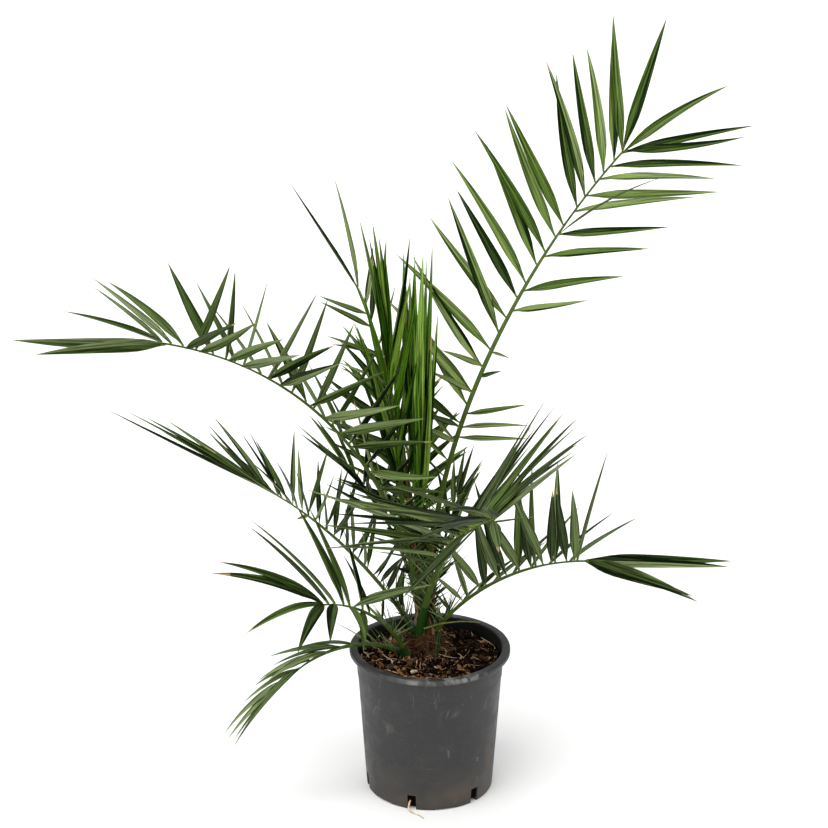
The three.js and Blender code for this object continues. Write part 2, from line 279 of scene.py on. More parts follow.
POT_TINTS = {
    # painted shade on the inner wall
    "inside": (0.0052, 0.0054, 0.0052),
    "dark": (0.0098, 0.0105, 0.0106),
    "light": (0.0148, 0.0155, 0.0153),
    "dust": (0.050, 0.046, 0.040),
    "specks": (0.16, 0.15, 0.13),
    "splashes": (0.046, 0.036, 0.028),
    "drags": (0.17, 0.165, 0.15),
    "scuffs_and_highlights": (0.20, 0.20, 0.19),
    "soil": (0.075, 0.050, 0.034),
}
POT_SCALES = {"grain": 1400, "cloud": 18, "drag": 60, "dust": 45, "specks": 420}
DRAG_STRETCH = 0.35
SPLASH_TOP = 0.07  # metres: how far up the splashes reach
# Marks on the pot: centre and half sizes in millimetres, and how strong each is. The first three, along the
# front of the rim, are painted highlights, and the second also has whitish scuff marks in it; the rest are
# pale scuff marks on the wall.
POT_SCUFFS_AND_HIGHLIGHTS = (
    ((12, -104, 203), (96, 40, 7), 0.4),
    ((48, -98, 203), (42, 30, 6), 0.75),
    ((-22, -108, 202), (16, 8, 4), 0.6),
    ((9, -103, 176), (5, 9, 26), 0.8),
    ((30, -96, 150), (18, 12, 9), 0.25),
    ((-62, -75, 120), (20, 16, 12), 0.22),
)
POT_DIRT = (
    ((40, -78, 24), (26, 24, 18), 0.8),
    ((-30, -84, 12), (24, 20, 14), 0.8),
    ((78, -40, 70), (14, 18, 40), 0.6),
)


FLOOR_TINTS = ((0.75, 0.75, 0.748), (0.77, 0.77, 0.765))


def pot_material():
    """Moulded dark plastic: fine grain, pale scuff marks, painted highlights along the front of the rim, and
    brownish dirt low down.
    """
    shader = Shader("pot_plastic", 0.5, 0.45)
    grain = shader.noise(POT_SCALES["grain"], 2.0)
    cloud = shader.noise(POT_SCALES["cloud"])
    drag = shader.noise(POT_SCALES["drag"], 4.0, shader.place((1.0, 1.0, DRAG_STRETCH)), 1.5)
    dust = shader.noise(POT_SCALES["dust"], 6.0, distortion=0.8)
    tone = shader.blend(shader.ramp(cloud, 0.3, 0.7), POT_TINTS["dark"], POT_TINTS["light"])
    tone = shader.over(tone, POT_TINTS["dust"], dust, 0.52, 0.75, 0.4)
    tone = shader.over(tone, POT_TINTS["specks"], shader.noise(POT_SCALES["specks"], 2.0), 0.70, 0.76, 0.5)
    low = shader.ramp(shader.axis(shader.node("TexCoord", {}).outputs["Object"], "Z"), SPLASH_TOP, 0.0)
    tone = shader.blend(shader.times(low, shader.ramp(cloud, 0.35, 0.6, 0.3)), tone, POT_TINTS["splashes"])
    tone = shader.over(tone, POT_TINTS["drags"], drag, 0.66, 0.74, 0.45)
    # Pale scuff marks on the wall, and painted highlights along the front of the rim.
    for place, size, share in POT_SCUFFS_AND_HIGHLIGHTS:
        mark = shader.times(shader.spot(place, size), shader.ramp(drag, 0.42, 0.60, 0.0, share))
        tone = shader.blend(mark, tone, POT_TINTS["scuffs_and_highlights"])
    for place, size, share in POT_DIRT:
        mark = shader.times(shader.spot(place, size), shader.ramp(dust, 0.36, 0.60, 0.2, share))
        tone = shader.blend(mark, tone, POT_TINTS["soil"])
    shader.colour(tone)
    shader.feed(shader.ramp(dust, 0.35, 0.7, 0.42, 0.62), shader.surface["Roughness"])
    shader.relief(grain, 0.12, 0.5)
    shader.relief(drag, 0.5, 0.25)
    return shader.material


def floor_material():
    shader = Shader("studio_floor", 0.85, 0.2)
    shader.colour(shader.blend(shader.noise(3, 2.0), *FLOOR_TINTS))
    return shader.material


# Upper faces by age of frond, then undersides: each leaflet is dealt one of each. Of the upper tints, the
# first two are the blades' own greens, the third is painted shade and the fourth a painted highlight.
LEAF_TINTS = {
    "leaf_old": ((0.024, 0.044, 0.007), (0.045, 0.075, 0.013),
                 (0.004, 0.0095, 0.0018), (0.102, 0.140, 0.044)),
    "leaf_mid": ((0.034, 0.066, 0.006), (0.056, 0.098, 0.011),
                 (0.007, 0.018, 0.002), (0.110, 0.160, 0.034)),
    "leaf_young": ((0.020, 0.066, 0.001), (0.052, 0.134, 0.003),
                   (0.003, 0.015, 0.0005), (0.134, 0.230, 0.024)),
}
UNDER_TINTS = {
    "leaf_old": ((0.076, 0.107, 0.038), (0.016, 0.028, 0.007)),
    "leaf_mid": ((0.088, 0.121, 0.037), (0.020, 0.034, 0.008)),
    "leaf_young": ((0.050, 0.115, 0.006), (0.012, 0.042, 0.002)),
}
# How glossy each upper tint is: the dark ones stay dull, so that they read as shade between the ribs.
LEAF_GLOSS = (0.05, 0.14, 0.02, 0.30)
UNDER_GLOSS = 0.05
DRY_TIP = (0.24, 0.17, 0.08)
PULVINUS = (0.090, 0.140, 0.022)
STALK = (0.048, 0.078, 0.010)
# The dark green of the stalks' feet down in the crown, and of the spear's stalk: painted shade.
SHADED_STALK_TINT = (0.008, 0.036, 0.004)
STALK_SCURF = (0.11, 0.085, 0.045)
STALK_DRY = (0.13, 0.14, 0.035)
# The order of a leaf's materials: upper faces, undersides, dry tip and foot.
TOP_COUNT = 4
UNDER_COUNT = 2
DRY_LOOK = TOP_COUNT + UNDER_COUNT
FOOT_LOOK = DRY_LOOK + 1


def leaf_materials(slot):
    tops = enumerate(zip(LEAF_TINTS[slot], LEAF_GLOSS), 1)
    unders = enumerate(UNDER_TINTS[slot], 1)
    return [
        *(leaf_material(f"{slot}_top_{i}", tint, 0.40, gloss) for i, (tint, gloss) in tops),
        *(leaf_material(f"{slot}_under_{i}", tint, 0.55, UNDER_GLOSS) for i, tint in unders),
        leaf_material(f"{slot}_dry", DRY_TIP, 0.8, 0.2),
        leaf_material(f"{slot}_foot", PULVINUS, 0.6, 0.1),
    ]


# ---------------- meshes

def mix(first, second, share):
    return first + (second - first) * share


def clamp01(value):
    return np.clip(value, 0.0, 1.0)


def smooth(value):
    share = clamp01(value)
    return share * share * (3 - 2 * share)


def unit(vectors):
    return vectors / np.linalg.norm(vectors, axis=-1, keepdims=True)


def across(vectors, axes):
    """The part of each vector that is square to its axis, at unit length."""
    return unit(vectors - np.sum(vectors * axes, axis=-1, keepdims=True) * axes)


def turned(vectors, axes, angles):
    """Vectors square to their axes, turned about them by angles in degrees."""
    angles = np.radians(angles)[..., None]
    return vectors * np.cos(angles) + np.cross(axes, vectors) * np.sin(angles)


def circle(count):
    """Angles spread evenly round a circle."""
    return np.linspace(0, 2 * np.pi, count, endpoint=False)


def through(marks, share):
    """The places at shares of a line through marks at even steps."""
    steps = np.linspace(0, 1, len(marks))
    return np.stack([np.interp(share, steps, axis) for axis in zip(*marks)], axis=-1)


def shade(mesh, sharp_angle):
    mesh.shade_smooth()
    mesh.set_sharp_from_angle(angle=math.radians(sharp_angle))


def section(middles, wide_way, sideways, high_way, raised):
    """The points of a section round each middle, at distances along two directions."""
    wide = wide_way[..., None, :] * sideways[..., None]
    high = high_way[..., None, :] * raised[..., None]
    return middles[..., None, :] + wide + high


class Shape:
    """Points in millimetres and faces with their materials, gathered from many parts into one mesh."""

    def __init__(self):
        self.points = []
        self.faces = []
        self.looks = []
        self.places = []

    def add(self, points, face_sets, places=None):
        """Points, and sets of faces between them, each set with its looks."""
        points = np.asarray(points).reshape(-1, 3)
        first = sum(map(len, self.points))
        for faces, looks in face_sets:
            self.faces.extend((np.asarray(faces) + first).tolist())
            self.looks.extend(np.broadcast_to(looks, len(faces)).tolist())
        self.points.append(points)
        self.places.append(np.zeros((len(points), 2)) if places is None else places.reshape(-1, 2))

    def loft(self, points, looks, places=None, head_looks=None):
        """Copies of a section, swept row by row and closed at both ends.

        points is copies x rows x ring x 3, and looks fits copies x gaps between the rows x ring. The end
        faces look like the quads beside them, apart from heads whose looks are given.
        """
        number = np.arange(points.size // 3).reshape(points.shape[:3])
        near, far = number[:, :-1], number[:, 1:]
        quads = np.stack([near, np.roll(near, -1, axis=2), np.roll(far, -1, axis=2), far], axis=-1)
        looks = np.broadcast_to(looks, near.shape)
        self.add(points, (
            (quads.reshape(-1, 4), looks.ravel()),
            (number[:, 0, ::-1], looks[:, 0, 0]),
            (number[:, -1], looks[:, -1, 0] if head_looks is None else head_looks),
        ), places)

    def mesh(self, name, materials, sharp_angle=35):
        mesh = bpy.data.meshes.new(name)
        mesh.from_pydata((np.vstack(self.points) * MM).tolist(), [], self.faces)
        for material in materials:
            mesh.materials.append(material)
        mesh.polygons.foreach_set("material_index", np.array(self.looks, np.int32))
        corners = np.zeros(len(mesh.loops), np.int32)
        mesh.loops.foreach_get("vertex_index", corners)
        layer = mesh.uv_layers.new(name="Blade")
        layer.data.foreach_set("uv", np.vstack(self.places)[corners].ravel().astype(np.float32))
        mesh.validate()
        shade(mesh, sharp_angle)
        return put_in_scene(name, mesh)


def finish_piece(piece, slot, *nodes):
    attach(piece, "root")
    if nodes:
        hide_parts(*nodes)


STEEP = 0.9  # a path that starts steeper than this has its rings turned from +X instead of from +Z


def add_tubes(shape, paths, radii, looks, ring=5):
    """Round tubes along paths: paths is copies x rows x 3, radii copies x rows, looks one for each copy."""
    along = unit(np.gradient(paths, axis=1))
    start = np.where(np.abs(along[:, :1, 2:]) > STEEP, [[[1.0, 0.0, 0.0]]], UP)
    side = across(np.broadcast_to(start, paths.shape), along)
    up = np.cross(along, side)
    angles = circle(ring)[:, None]
    offsets = side[:, :, None] * np.cos(angles) + up[:, :, None] * np.sin(angles)
    shape.loft(paths[:, :, None] + offsets * radii[:, :, None, None], looks[:, None, None])


# ---------------- fronds

LAW_STEPS = 48  # steps in which a frond's curve is added up
SPINE_SHARE = 0.18  # length of the lowest leaflets against the full ones
LONGER_FROM = 0.75  # where along the blade the tip leaflets start to lengthen
LEVEL_FROM = 0.3  # where along the blade the middle values of its laws are reached
TIP_EASE = 1.5  # how slowly they turn into the values of the tip
FOLD_AT_FOOT = 62.0  # rise of each half of a leaflet, in degrees
FOLD = 32.0
FURLED_FOLD = 54.0  # in the youngest leaves
FOOT_RADIUS = 7.2
BLADE_FOOT_RADIUS = 3.4
RIB_TIP_RADIUS = 1.5
RIB_TAPER = 2.2  # how late along the blade the rib thins
LEAST_GIRTH = 0.5  # against the full one, to which a frond adds its length over GIRTH_LENGTH
GIRTH_LENGTH = 420


@dataclass
class Side:
    """One side of a frond's blade. Angles are in degrees, and laws of three go from the foot to the tip."""
    sweep: tuple  # of three: how far the leaflets turn out from the rib
    lift: tuple  # of three: how far they rise above the blade's own plane
    reach: tuple  # their lengths in the middle and at the tip, in millimetres
    count: int
    width: float = 1.1  # against the common width
    crowding: float = 1.2  # above 1 they stand closer towards the tip
    loners: int = 2  # those near the tip that stand alone before the pairs begin
    pairs: tuple = (3, 6)  # how far the two of a pair part in sweep and in lift
    roll: tuple = (0, 0, 0)  # turn of the upper face to the frond's tip: common, lower of a pair, terminal
    fan: float = 4  # how far each terminal leaflet turns from the law's sweep
    terminals: int = 2  # those that spring from the very tip
    tip_from: float = None  # where the laws leave their middle values, if not where the frond's do
    longer_from: float = None  # where the leaflets start to lengthen, if not at the common place
    growth: float = 2  # how late they do so
    none_below: float = 0.0  # the share of the blade at its foot that bears none


@dataclass
class Frond:
    """A frond's own laws, as in the frame, and its rib. Angles are in degrees, lengths in millimetres."""
    foot: tuple
    azimuth: float
    lean: tuple  # the rib's elevation at the foot and at the tip
    ease: float  # above 1 the rib bends late
    length: float
    bare: float  # the share of the rib that is a bare stalk
    rise: float  # the share of the blade over which the leaflets grow to their full length
    droop: float  # how far a leaflet bends down on its way
    left: Side
    right: Side = None  # the same as the left, if none is given
    swing: float = 0  # how far the rib turns sideways on its way
    twist: float = 0  # of the blade's plane about the rib
    slot: str = "leaf_old"
    blades: int = 2  # nodes of the frame that the leaflets replace
    tip_from: float = 0.65  # where along the blade the laws leave their middle values
    spines: int = 18  # on each side of the bare stalk
    deal: tuple = None  # the chances of the upper tints, and so of their painted shade and painted highlight, even if none are given
    number: int = 0

    def __post_init__(self):
        """Adds the rib up in short straight steps from its foot."""
        self.right = self.right or self.left
        self.fold = FURLED_FOLD if self.slot == "leaf_young" else FOLD
        middles = (np.arange(LAW_STEPS) + 0.5) / LAW_STEPS
        steps = self.direction(middles) * self.length / LAW_STEPS
        foot = np.array(self.foot, float)
        self.points = np.vstack([foot, foot + np.cumsum(steps, axis=0)])

    def azimuth_at(self, share):
        return np.radians(self.azimuth + self.swing * share)

    def direction(self, share):
        elevation = np.radians(mix(*self.lean, clamp01(share) ** self.ease))
        azimuth = self.azimuth_at(share)
        level = np.cos(elevation)
        return np.stack([level * np.cos(azimuth), level * np.sin(azimuth), np.sin(elevation)], axis=-1)

    def at(self, share):
        """The point, and the frame along, to the left and up, at each share of the length."""
        along = self.direction(share)
        azimuth = self.azimuth_at(share)
        level = np.stack([-np.sin(azimuth), np.cos(azimuth), np.zeros_like(azimuth)], axis=-1)
        side = turned(level, along, self.twist)
        return through(self.points, share), along, side, np.cross(along, side)

    def rib_radius(self, share):
        """Half the rib's width: it thins over the bare stalk, stays stout through the blade and ends fine."""
        stalk = mix(FOOT_RADIUS, BLADE_FOOT_RADIUS, clamp01(share / self.bare))
        blade = BLADE_FOOT_RADIUS * (1 - clamp01((share - self.bare) / (1 - self.bare)) ** RIB_TAPER)
        girth = min(1.0, self.length / GIRTH_LENGTH + LEAST_GIRTH)
        return np.maximum(np.where(share < self.bare, stalk, blade) * girth, RIB_TIP_RADIUS)

    def leaflet_lengths(self, side, u):
        grown = mix(SPINE_SHARE, 1, np.sin(clamp01(u / self.rise) * np.pi / 2))
        middle, tip = side.reach
        start = side.longer_from or max(LONGER_FROM, self.tip_from)
        return middle * grown + (tip - middle) * clamp01((u - start) / (1 - start)) ** side.growth


CROWN_SHADE_DEAL = (0.35, 0.15, 0.45, 0.05)  # more of the darker tints, as painted shade, for the fronds in the middle of the crown
FRONDS = {
    "tall_right": Frond(
        foot=(2, 9, 215), azimuth=28, swing=13, lean=(98, 34), ease=0.83, length=747, bare=0.27, twist=26,
        rise=0.4, slot="leaf_mid", blades=3, droop=3,
        left=Side((58, 60, 30), (30, 22, 20), (190, 204), 23, 1.15, 1.08, pairs=(3.5, 2), roll=(8, -8, 8)),
        right=Side((90, 64, 34), (5, 10, 10), (105, 182), 15, 1.05, 1.5, loners=15, roll=(0, 0, -25), fan=15,
                   tip_from=0.96, longer_from=0.45, growth=0.6, none_below=0.45)),
    "high_left": Frond(
        foot=(-5, 3, 228), azimuth=226, swing=-16, lean=(78, 17), ease=1.25, length=654, bare=0.2, twist=-20,
        rise=0.4, blades=3, droop=4, tip_from=0.92,
        left=Side((90, 98, 4), (56, 58, -10), (110, 242), 16, 1.2, 1.1, 1, roll=(132, 138, -48)),
        right=Side((84, 72, 25), (50, 42, 15), (122, 118), 27, 1.2, 1.1, pairs=(-15, -24), roll=(10, -20, 10),
                   fan=12)),
    "mid_left": Frond(
        foot=(-13, 5, 217), azimuth=158, swing=2, lean=(52, 20), ease=1.35, length=305, bare=0.2, twist=8,
        rise=0.4, droop=2, deal=(0.3, 0.2, 0.42, 0.08),
        left=Side((70, 80, 12), (56, 50, 24), (122, 226), 17, 0.7, 1.4, 3, (-6, -12), (-10, -20, -10), 3,
                  growth=4),
        right=Side((75, 62, 25), (42, 30, 18), (122, 172), 19, 0.7, 1.4, 3, (-6, -12), (20, 10, 20), 7,
                   growth=4)),
    "low_left": Frond(
        foot=(-27, -16, 190), azimuth=207, swing=13, lean=(73, 12), ease=0.9, length=191, bare=0.34, twist=-4,
        rise=0.9, droop=22, spines=11, deal=(0.4, 0.2, 0.3, 0.1),
        left=Side((60, 75, 28), (64, -12, -14), (95, 150), 6, 1.45, loners=6, fan=12),
        right=Side((74, 68, 24), (44, 44, 62), (150, 168), 9, 1.35, 1.3, 1, (2, 2), (20, 20, 20), 3)),
    "low_right": Frond(
        foot=(0, 5, 216), azimuth=328, swing=-6, lean=(59, 15), ease=0.88, length=308, bare=0.14, rise=0.6,
        droop=5, tip_from=0.92,
        left=Side((80, 78, 8), (44, 44, -20), (132, 190), 17, 1.2, 1.05, 1, (2, 33), (30, -10, 45), 5),
        right=Side((80, 68, 15), (52, 68, -30), (130, 205), 15, 1.2, 1.05, 1, (-4, 8), (20, 0, -50), 5)),
    "front": Frond(
        foot=(-12, -5, 222), azimuth=290, lean=(97, 26), ease=0.4, length=392, bare=0.34, twist=10, rise=0.3,
        droop=6,
        left=Side((75, 56, 24), (34, 34, 44), (180, 200), 17, 1.15, pairs=(3, 5), roll=(35, 25, 35)),
        right=Side((72, 88, 30), (30, 28, 12), (185, 190), 19, 1.2, pairs=(6, 10), roll=(42, 30, 42))),
    "draping": Frond(
        foot=(-20, -12, 192), azimuth=190, swing=6, lean=(42, -46), ease=0.9, length=196, bare=0.36,
        rise=0.35, droop=32, spines=8, deal=(0.1, 0.35, 0.05, 0.5),
        left=Side((16, 12, 4), (0, 6, 8), (96, 116), 5, 1.25, 1.1, pairs=(3, 4)),
        right=Side((20, 13, 7), (0, 0, 0), (90, 130), 7, 1.2, 1.1, pairs=(3, 4))),
    "erect_left": Frond(
        foot=(-7, 13, 226), azimuth=119, swing=14, lean=(80, 56), ease=1.7, length=482, bare=0.26, rise=0.5,
        slot="leaf_mid", droop=4, tip_from=0.92,
        left=Side((72, 58, 15), (5, 5, 0), (86, 176), 15, 0.85, 0.85, 1, roll=(30, 20, 30), fan=0,
                  terminals=1),
        right=Side((55, 30, 8), (20, 10, 0), (84, 174), 13, 0.85, 1.0, 1, pairs=(3, 8), fan=0, terminals=1)),
    "centre": Frond(
        foot=(-8, -6, 226), azimuth=186, lean=(81, 87), ease=2, length=410, bare=0.5, twist=-75, rise=0.15,
        slot="leaf_young", droop=0,
        left=Side((16, 11, 5), (20, 20, 10), (158, 180), 13, crowding=1.0, loners=1, pairs=(2, 8)),
        right=Side((16, 11, 3), (20, 20, 10), (150, 172), 13, crowding=1.0, loners=1, pairs=(2, 8))),
    "back": Frond(
        foot=(2, 14, 214), azimuth=106, lean=(79, 34), ease=1, length=340, bare=0.3, rise=0.35,
        slot="leaf_mid", droop=6, deal=CROWN_SHADE_DEAL,
        left=Side((66, 62, 15), (30, 25, 15), (135, 140), 18),
        right=Side((66, 62, 15), (30, 25, 15), (92, 105), 18)),
    "inner_left": Frond(
        foot=(-10, 8, 224), azimuth=156, swing=10, lean=(82, 44), ease=1.2, length=250, bare=0.2, rise=0.3,
        blades=1, droop=5, deal=CROWN_SHADE_DEAL,
        left=Side((72, 66, 20), (20, 25, 15), (84, 92), 17, crowding=1.0, pairs=(4, 10))),
    "inner_right": Frond(
        foot=(0, 9, 224), azimuth=42, swing=-8, lean=(86, 62), ease=1.2, length=190, bare=0.2, rise=0.3,
        blades=1, droop=5, deal=CROWN_SHADE_DEAL,
        left=Side((60, 50, 14), (20, 25, 15), (66, 74), 13, 0.95, 1.0, pairs=(4, 10))),
}
for frond_number, frond_law in enumerate(FRONDS.values()):
    frond_law.number = frond_number

# How unevenly the leaflets follow the laws, from one to the next.
SPREADS = {"place": 0.12, "sweep": 3.2, "lift": 6.0, "length": 0.06, "roll": 16.0, "curl": 5.0, "droop": 4.0}
PAIR_CLOSENESS = 0.75  # gap between the feet of a pair, against an even spacing
ROOT_DEPTH = 0.7  # where in the rib a leaflet springs from, against its half width
SPINY_SHARE = 0.6  # of the rise: down from there the leaflets narrow into spines
DROOPING_LENGTH = 150  # a leaflet that is shorter droops less
SPINE_LENGTHS = (18.0, 58.0)
SPINES_FROM = 0.34  # of the bare stalk
SPINE_WIDTH = 0.75
# The mean and the spread of each angle of the spines.
SPINE_SWEEP, SPINE_LIFT, SPINE_ROLL, SPINE_DROOP, SPINE_CURL = (48, 9), (30, 14), (0, 40), (4, 4), (0, 4)


def of_three(values, u, tip_from):
    """A value given at the foot, the middle and the tip of the blade, level over the middle stretch."""
    foot, middle, tip = values
    ended = clamp01((u - tip_from) / (1 - tip_from)) ** TIP_EASE
    return foot + (middle - foot) * clamp01(u / LEVEL_FROM) + (tip - middle) * ended


def plan_of(root, direction, normal, length, width, droop, curl, spine=0.0, fold=FOLD):
    """Where every leaflet stands and points and what its form is, as arrays with one row for each leaflet."""
    form = {"length": length, "width": width, "droop": droop, "curl": curl, "spine": spine, "fold": fold}
    form = {key: np.broadcast_to(value, len(direction)) for key, value in form.items()}
    return {"root": root, "direction": direction, "normal": normal, **form}


def stand(frond, hand, share, sweep, lift, roll):
    """Where leaflets at shares of the rib stand, point and face: swept out, lifted and rolled by degrees."""
    point, along, left, up = frond.at(share)
    sweep, lift = np.radians(sweep), np.radians(lift)
    direction = (along * np.cos(sweep)[:, None]
                 + left * (hand * np.sin(sweep) * np.cos(lift))[:, None]
                 + up * (np.sin(sweep) * np.sin(lift))[:, None])
    root = point + left * (hand * frond.rib_radius(share) * ROOT_DEPTH)[:, None]
    return root, direction, turned(across(up, direction), direction, roll)


def plan_leaflets(frond, hand):
    """The leaflets on one side of a frond: hand is 1 on its left and -1 on its right."""
    side = frond.left if hand > 0 else frond.right
    random = dice(frond.number, hand + 1)
    number = np.arange(side.count)
    draw = {key: random.normal(0, spread, side.count) for key, spread in SPREADS.items()}
    order = np.maximum(number - side.terminals + 1, 0)
    paired = order >= side.loners
    # In a pair, 1 is the leaflet nearer the tip and -1 the one nearer the foot.
    member = np.where(paired, 1 - 2 * ((order - side.loners) % 2), 0)
    order = order + member * (1 - PAIR_CLOSENESS) / 2
    steps = side.count - side.terminals + 1
    u = clamp01(1 - (order / steps) ** side.crowding + draw["place"] / side.count)
    lengths = frond.leaflet_lengths(side, u) * (1 + draw["length"])
    splay, split = side.pairs
    terminal = np.where(number < side.terminals, 2 * number - 1, 0) * side.fan
    tip_from = side.tip_from or frond.tip_from
    common, lower, at_tip = side.roll
    roll = np.select([terminal != 0, member < 0], [at_tip, lower], common) + draw["roll"]
    plan = plan_of(
        *stand(frond, hand, frond.bare + (1 - frond.bare) * u,
               of_three(side.sweep, u, tip_from) + member * splay + terminal + draw["sweep"],
               of_three(side.lift, u, tip_from) + member * split + draw["lift"], hand * roll),
        length=lengths, width=side.width, curl=draw["curl"],
        droop=frond.droop * clamp01(lengths / DROOPING_LENGTH) + draw["droop"],
        spine=clamp01(1 - u / (SPINY_SHARE * frond.rise)), fold=frond.fold)
    kept = u >= side.none_below
    return {key: values[kept] for key, values in plan.items()}


def plan_spines(frond, hand):
    """Short stiff spines on the bare stalk, longer towards the blade."""
    random = dice(frond.number, hand + 5)
    count = frond.spines
    rise = (np.arange(count) + random.uniform(0.2, 0.8, count)) / count
    sweep, lift, roll = (random.normal(*law, count) for law in (SPINE_SWEEP, SPINE_LIFT, SPINE_ROLL))
    return plan_of(
        *stand(frond, hand, frond.bare * mix(SPINES_FROM, 1.0, rise), sweep, lift, roll),
        length=mix(*SPINE_LENGTHS, rise) * random.uniform(0.75, 1.2, count), width=SPINE_WIDTH,
        droop=random.normal(*SPINE_DROOP, count), curl=random.normal(*SPINE_CURL, count), spine=1.0)


# Single leaflets that break the laws, frond by frond: the share of the rib that each springs from, its run to
# the right, back and up, its width against the common one, whether its underside shows, and its droop.
STRAYS = {
    "tall_right": (
        (0.405, (-60, -22, 30), 1.10, True, 6), (0.375, (-54, -24, 36), 1.10, True, 6),
        (0.52, (-57, -18, 30), 1.05, True, 8), (0.47, (-59, -20, 38), 1.05, True, 8),
        (0.55, (26, -2, -8), 0.60, True, 4), (0.50, (30, -4, 11), 0.80, True, 4),
        (0.432, (84, 5, 11), 0.90, False, 6), (0.404, (93, 1, 3), 0.85, True, 6),
        (0.388, (96, 0, -3), 0.90, False, 6), (0.79, (148, -12, 88), 0.28, True, 26),
    ),
    "low_left": (
        (0.72, (104, -20, 42), 1.50, True, 8), (0.40, (-34, 10, 34), 0.55, True, 4),
        (0.30, (-26, 12, 30), 0.50, True, 4),
    ),
    "mid_left": (
        (0.74, (-17, -6, -2), 0.80, True, 6), (0.16, (8, -10, 74), 0.75, True, 4),
        (0.20, (16, -14, 66), 0.80, False, 4), (0.25, (24, -12, 58), 0.75, True, 4),
        (0.30, (36, -16, 50), 0.80, True, 8),
    ),
    "front": (
        (0.74, (-82, -34, -76), 1.10, True, 6), (0.98, (8, -16, -36), 1.70, True, 6),
        (0.90, (62, -4, 10), 0.35, False, 6),
    ),
}
STRAY_FACE = np.array([0.15, 1.0, 0.25])  # where the upper face points if the underside shows
STRAY_CURL = -4.0


def plan_strays(frond, strays):
    share, run, width, underside, droop = (np.array(column) for column in zip(*strays))
    direction = unit(run)
    normal = across(STRAY_FACE * np.where(underside, 1.0, -1.0)[:, None], direction)
    length = np.linalg.norm(run, axis=1)
    return plan_of(frond.at(share)[0], direction, normal, length, width, droop, STRAY_CURL)


# One leaflet: stations along it, and a section of five points over its upper face and three under it.
STATIONS = 15
SECTION_PLACE = np.array([-1.0, -0.5, 0.0, 0.5, 1.0, 0.5, 0.0, -0.5])  # from one edge to the other and back
SECTION_UNDER = np.array([0, 0, 0, 0, 0, 1, 1, 1])
HALF_FACE = 2  # section steps on each half of the upper face
BLADE_THICKNESS = 0.35
MIDRIB_THICKNESS = 1.0
TIP_THICKNESS_SHARE = 0.25
HOLLOW = 0.86  # height of the edges against a straight fold's
FOOT_WIDTH_SHARE = 0.26
TIP_WIDTH_SHARE = 0.012
SPINE_WIDTH_SHARE = 0.3
WIDEST_AT = 0.34
TAPER_FROM = 0.2
TAPER_LATE, TAPER_BLUNT = 1.7, 0.95  # the powers that shape the taper
WIDTH_PER_LENGTH = 0.032
WIDTH_MORE = 9.4
FOLD_OPENS_BY = 0.22  # share of the length at which the leaflet has opened from its folded foot
DRY_CHANCE = 0.12
DRY_FROM = (0.86, 0.96)  # shares of the length between which a dry tip begins
FOOT_END = 0.035  # share of the length that has the colour of the foot
NEVER = 2.0  # a share of the length that no station reaches


def leaflet_half_widths(plan, t):
    slender = mix(1.0, SPINE_WIDTH_SHARE, plan["spine"])
    full = (WIDTH_PER_LENGTH * plan["length"] + WIDTH_MORE) * plan["width"] * slender / 2
    swell = mix(FOOT_WIDTH_SHARE, 1.0, np.sin(clamp01(t / WIDEST_AT) * np.pi / 2))
    taper = (1 - clamp01((t - TAPER_FROM) / (1 - TAPER_FROM)) ** TAPER_LATE) ** TAPER_BLUNT
    return full[:, None] * (swell * taper + TIP_WIDTH_SHARE)[None, :]


def leaflet_looks(count, middles, random, deal):
    """Materials by leaflet, row and strip of the section, and those of the tips' end faces."""
    tops = random.choice(TOP_COUNT, count, p=deal)
    # The other half of the fold is dealt its own upper tint, so that one half can be painted lit and the
    # other painted in shade.
    halves = random.choice(TOP_COUNT, count, p=deal)
    unders = TOP_COUNT + random.integers(0, UNDER_COUNT, count)
    dry_from = np.where(random.random(count) < DRY_CHANCE, random.uniform(*DRY_FROM, count), NEVER)
    strip = np.arange(len(SECTION_PLACE))
    middles = middles[:, None]
    upper = np.where(strip < HALF_FACE, tops[:, None, None], halves[:, None, None])
    looks = np.where(strip < 2 * HALF_FACE, upper, unders[:, None, None])
    looks = np.where(middles > dry_from[:, None, None], DRY_LOOK, looks)
    return np.where(middles < FOOT_END, FOOT_LOOK, looks), tops


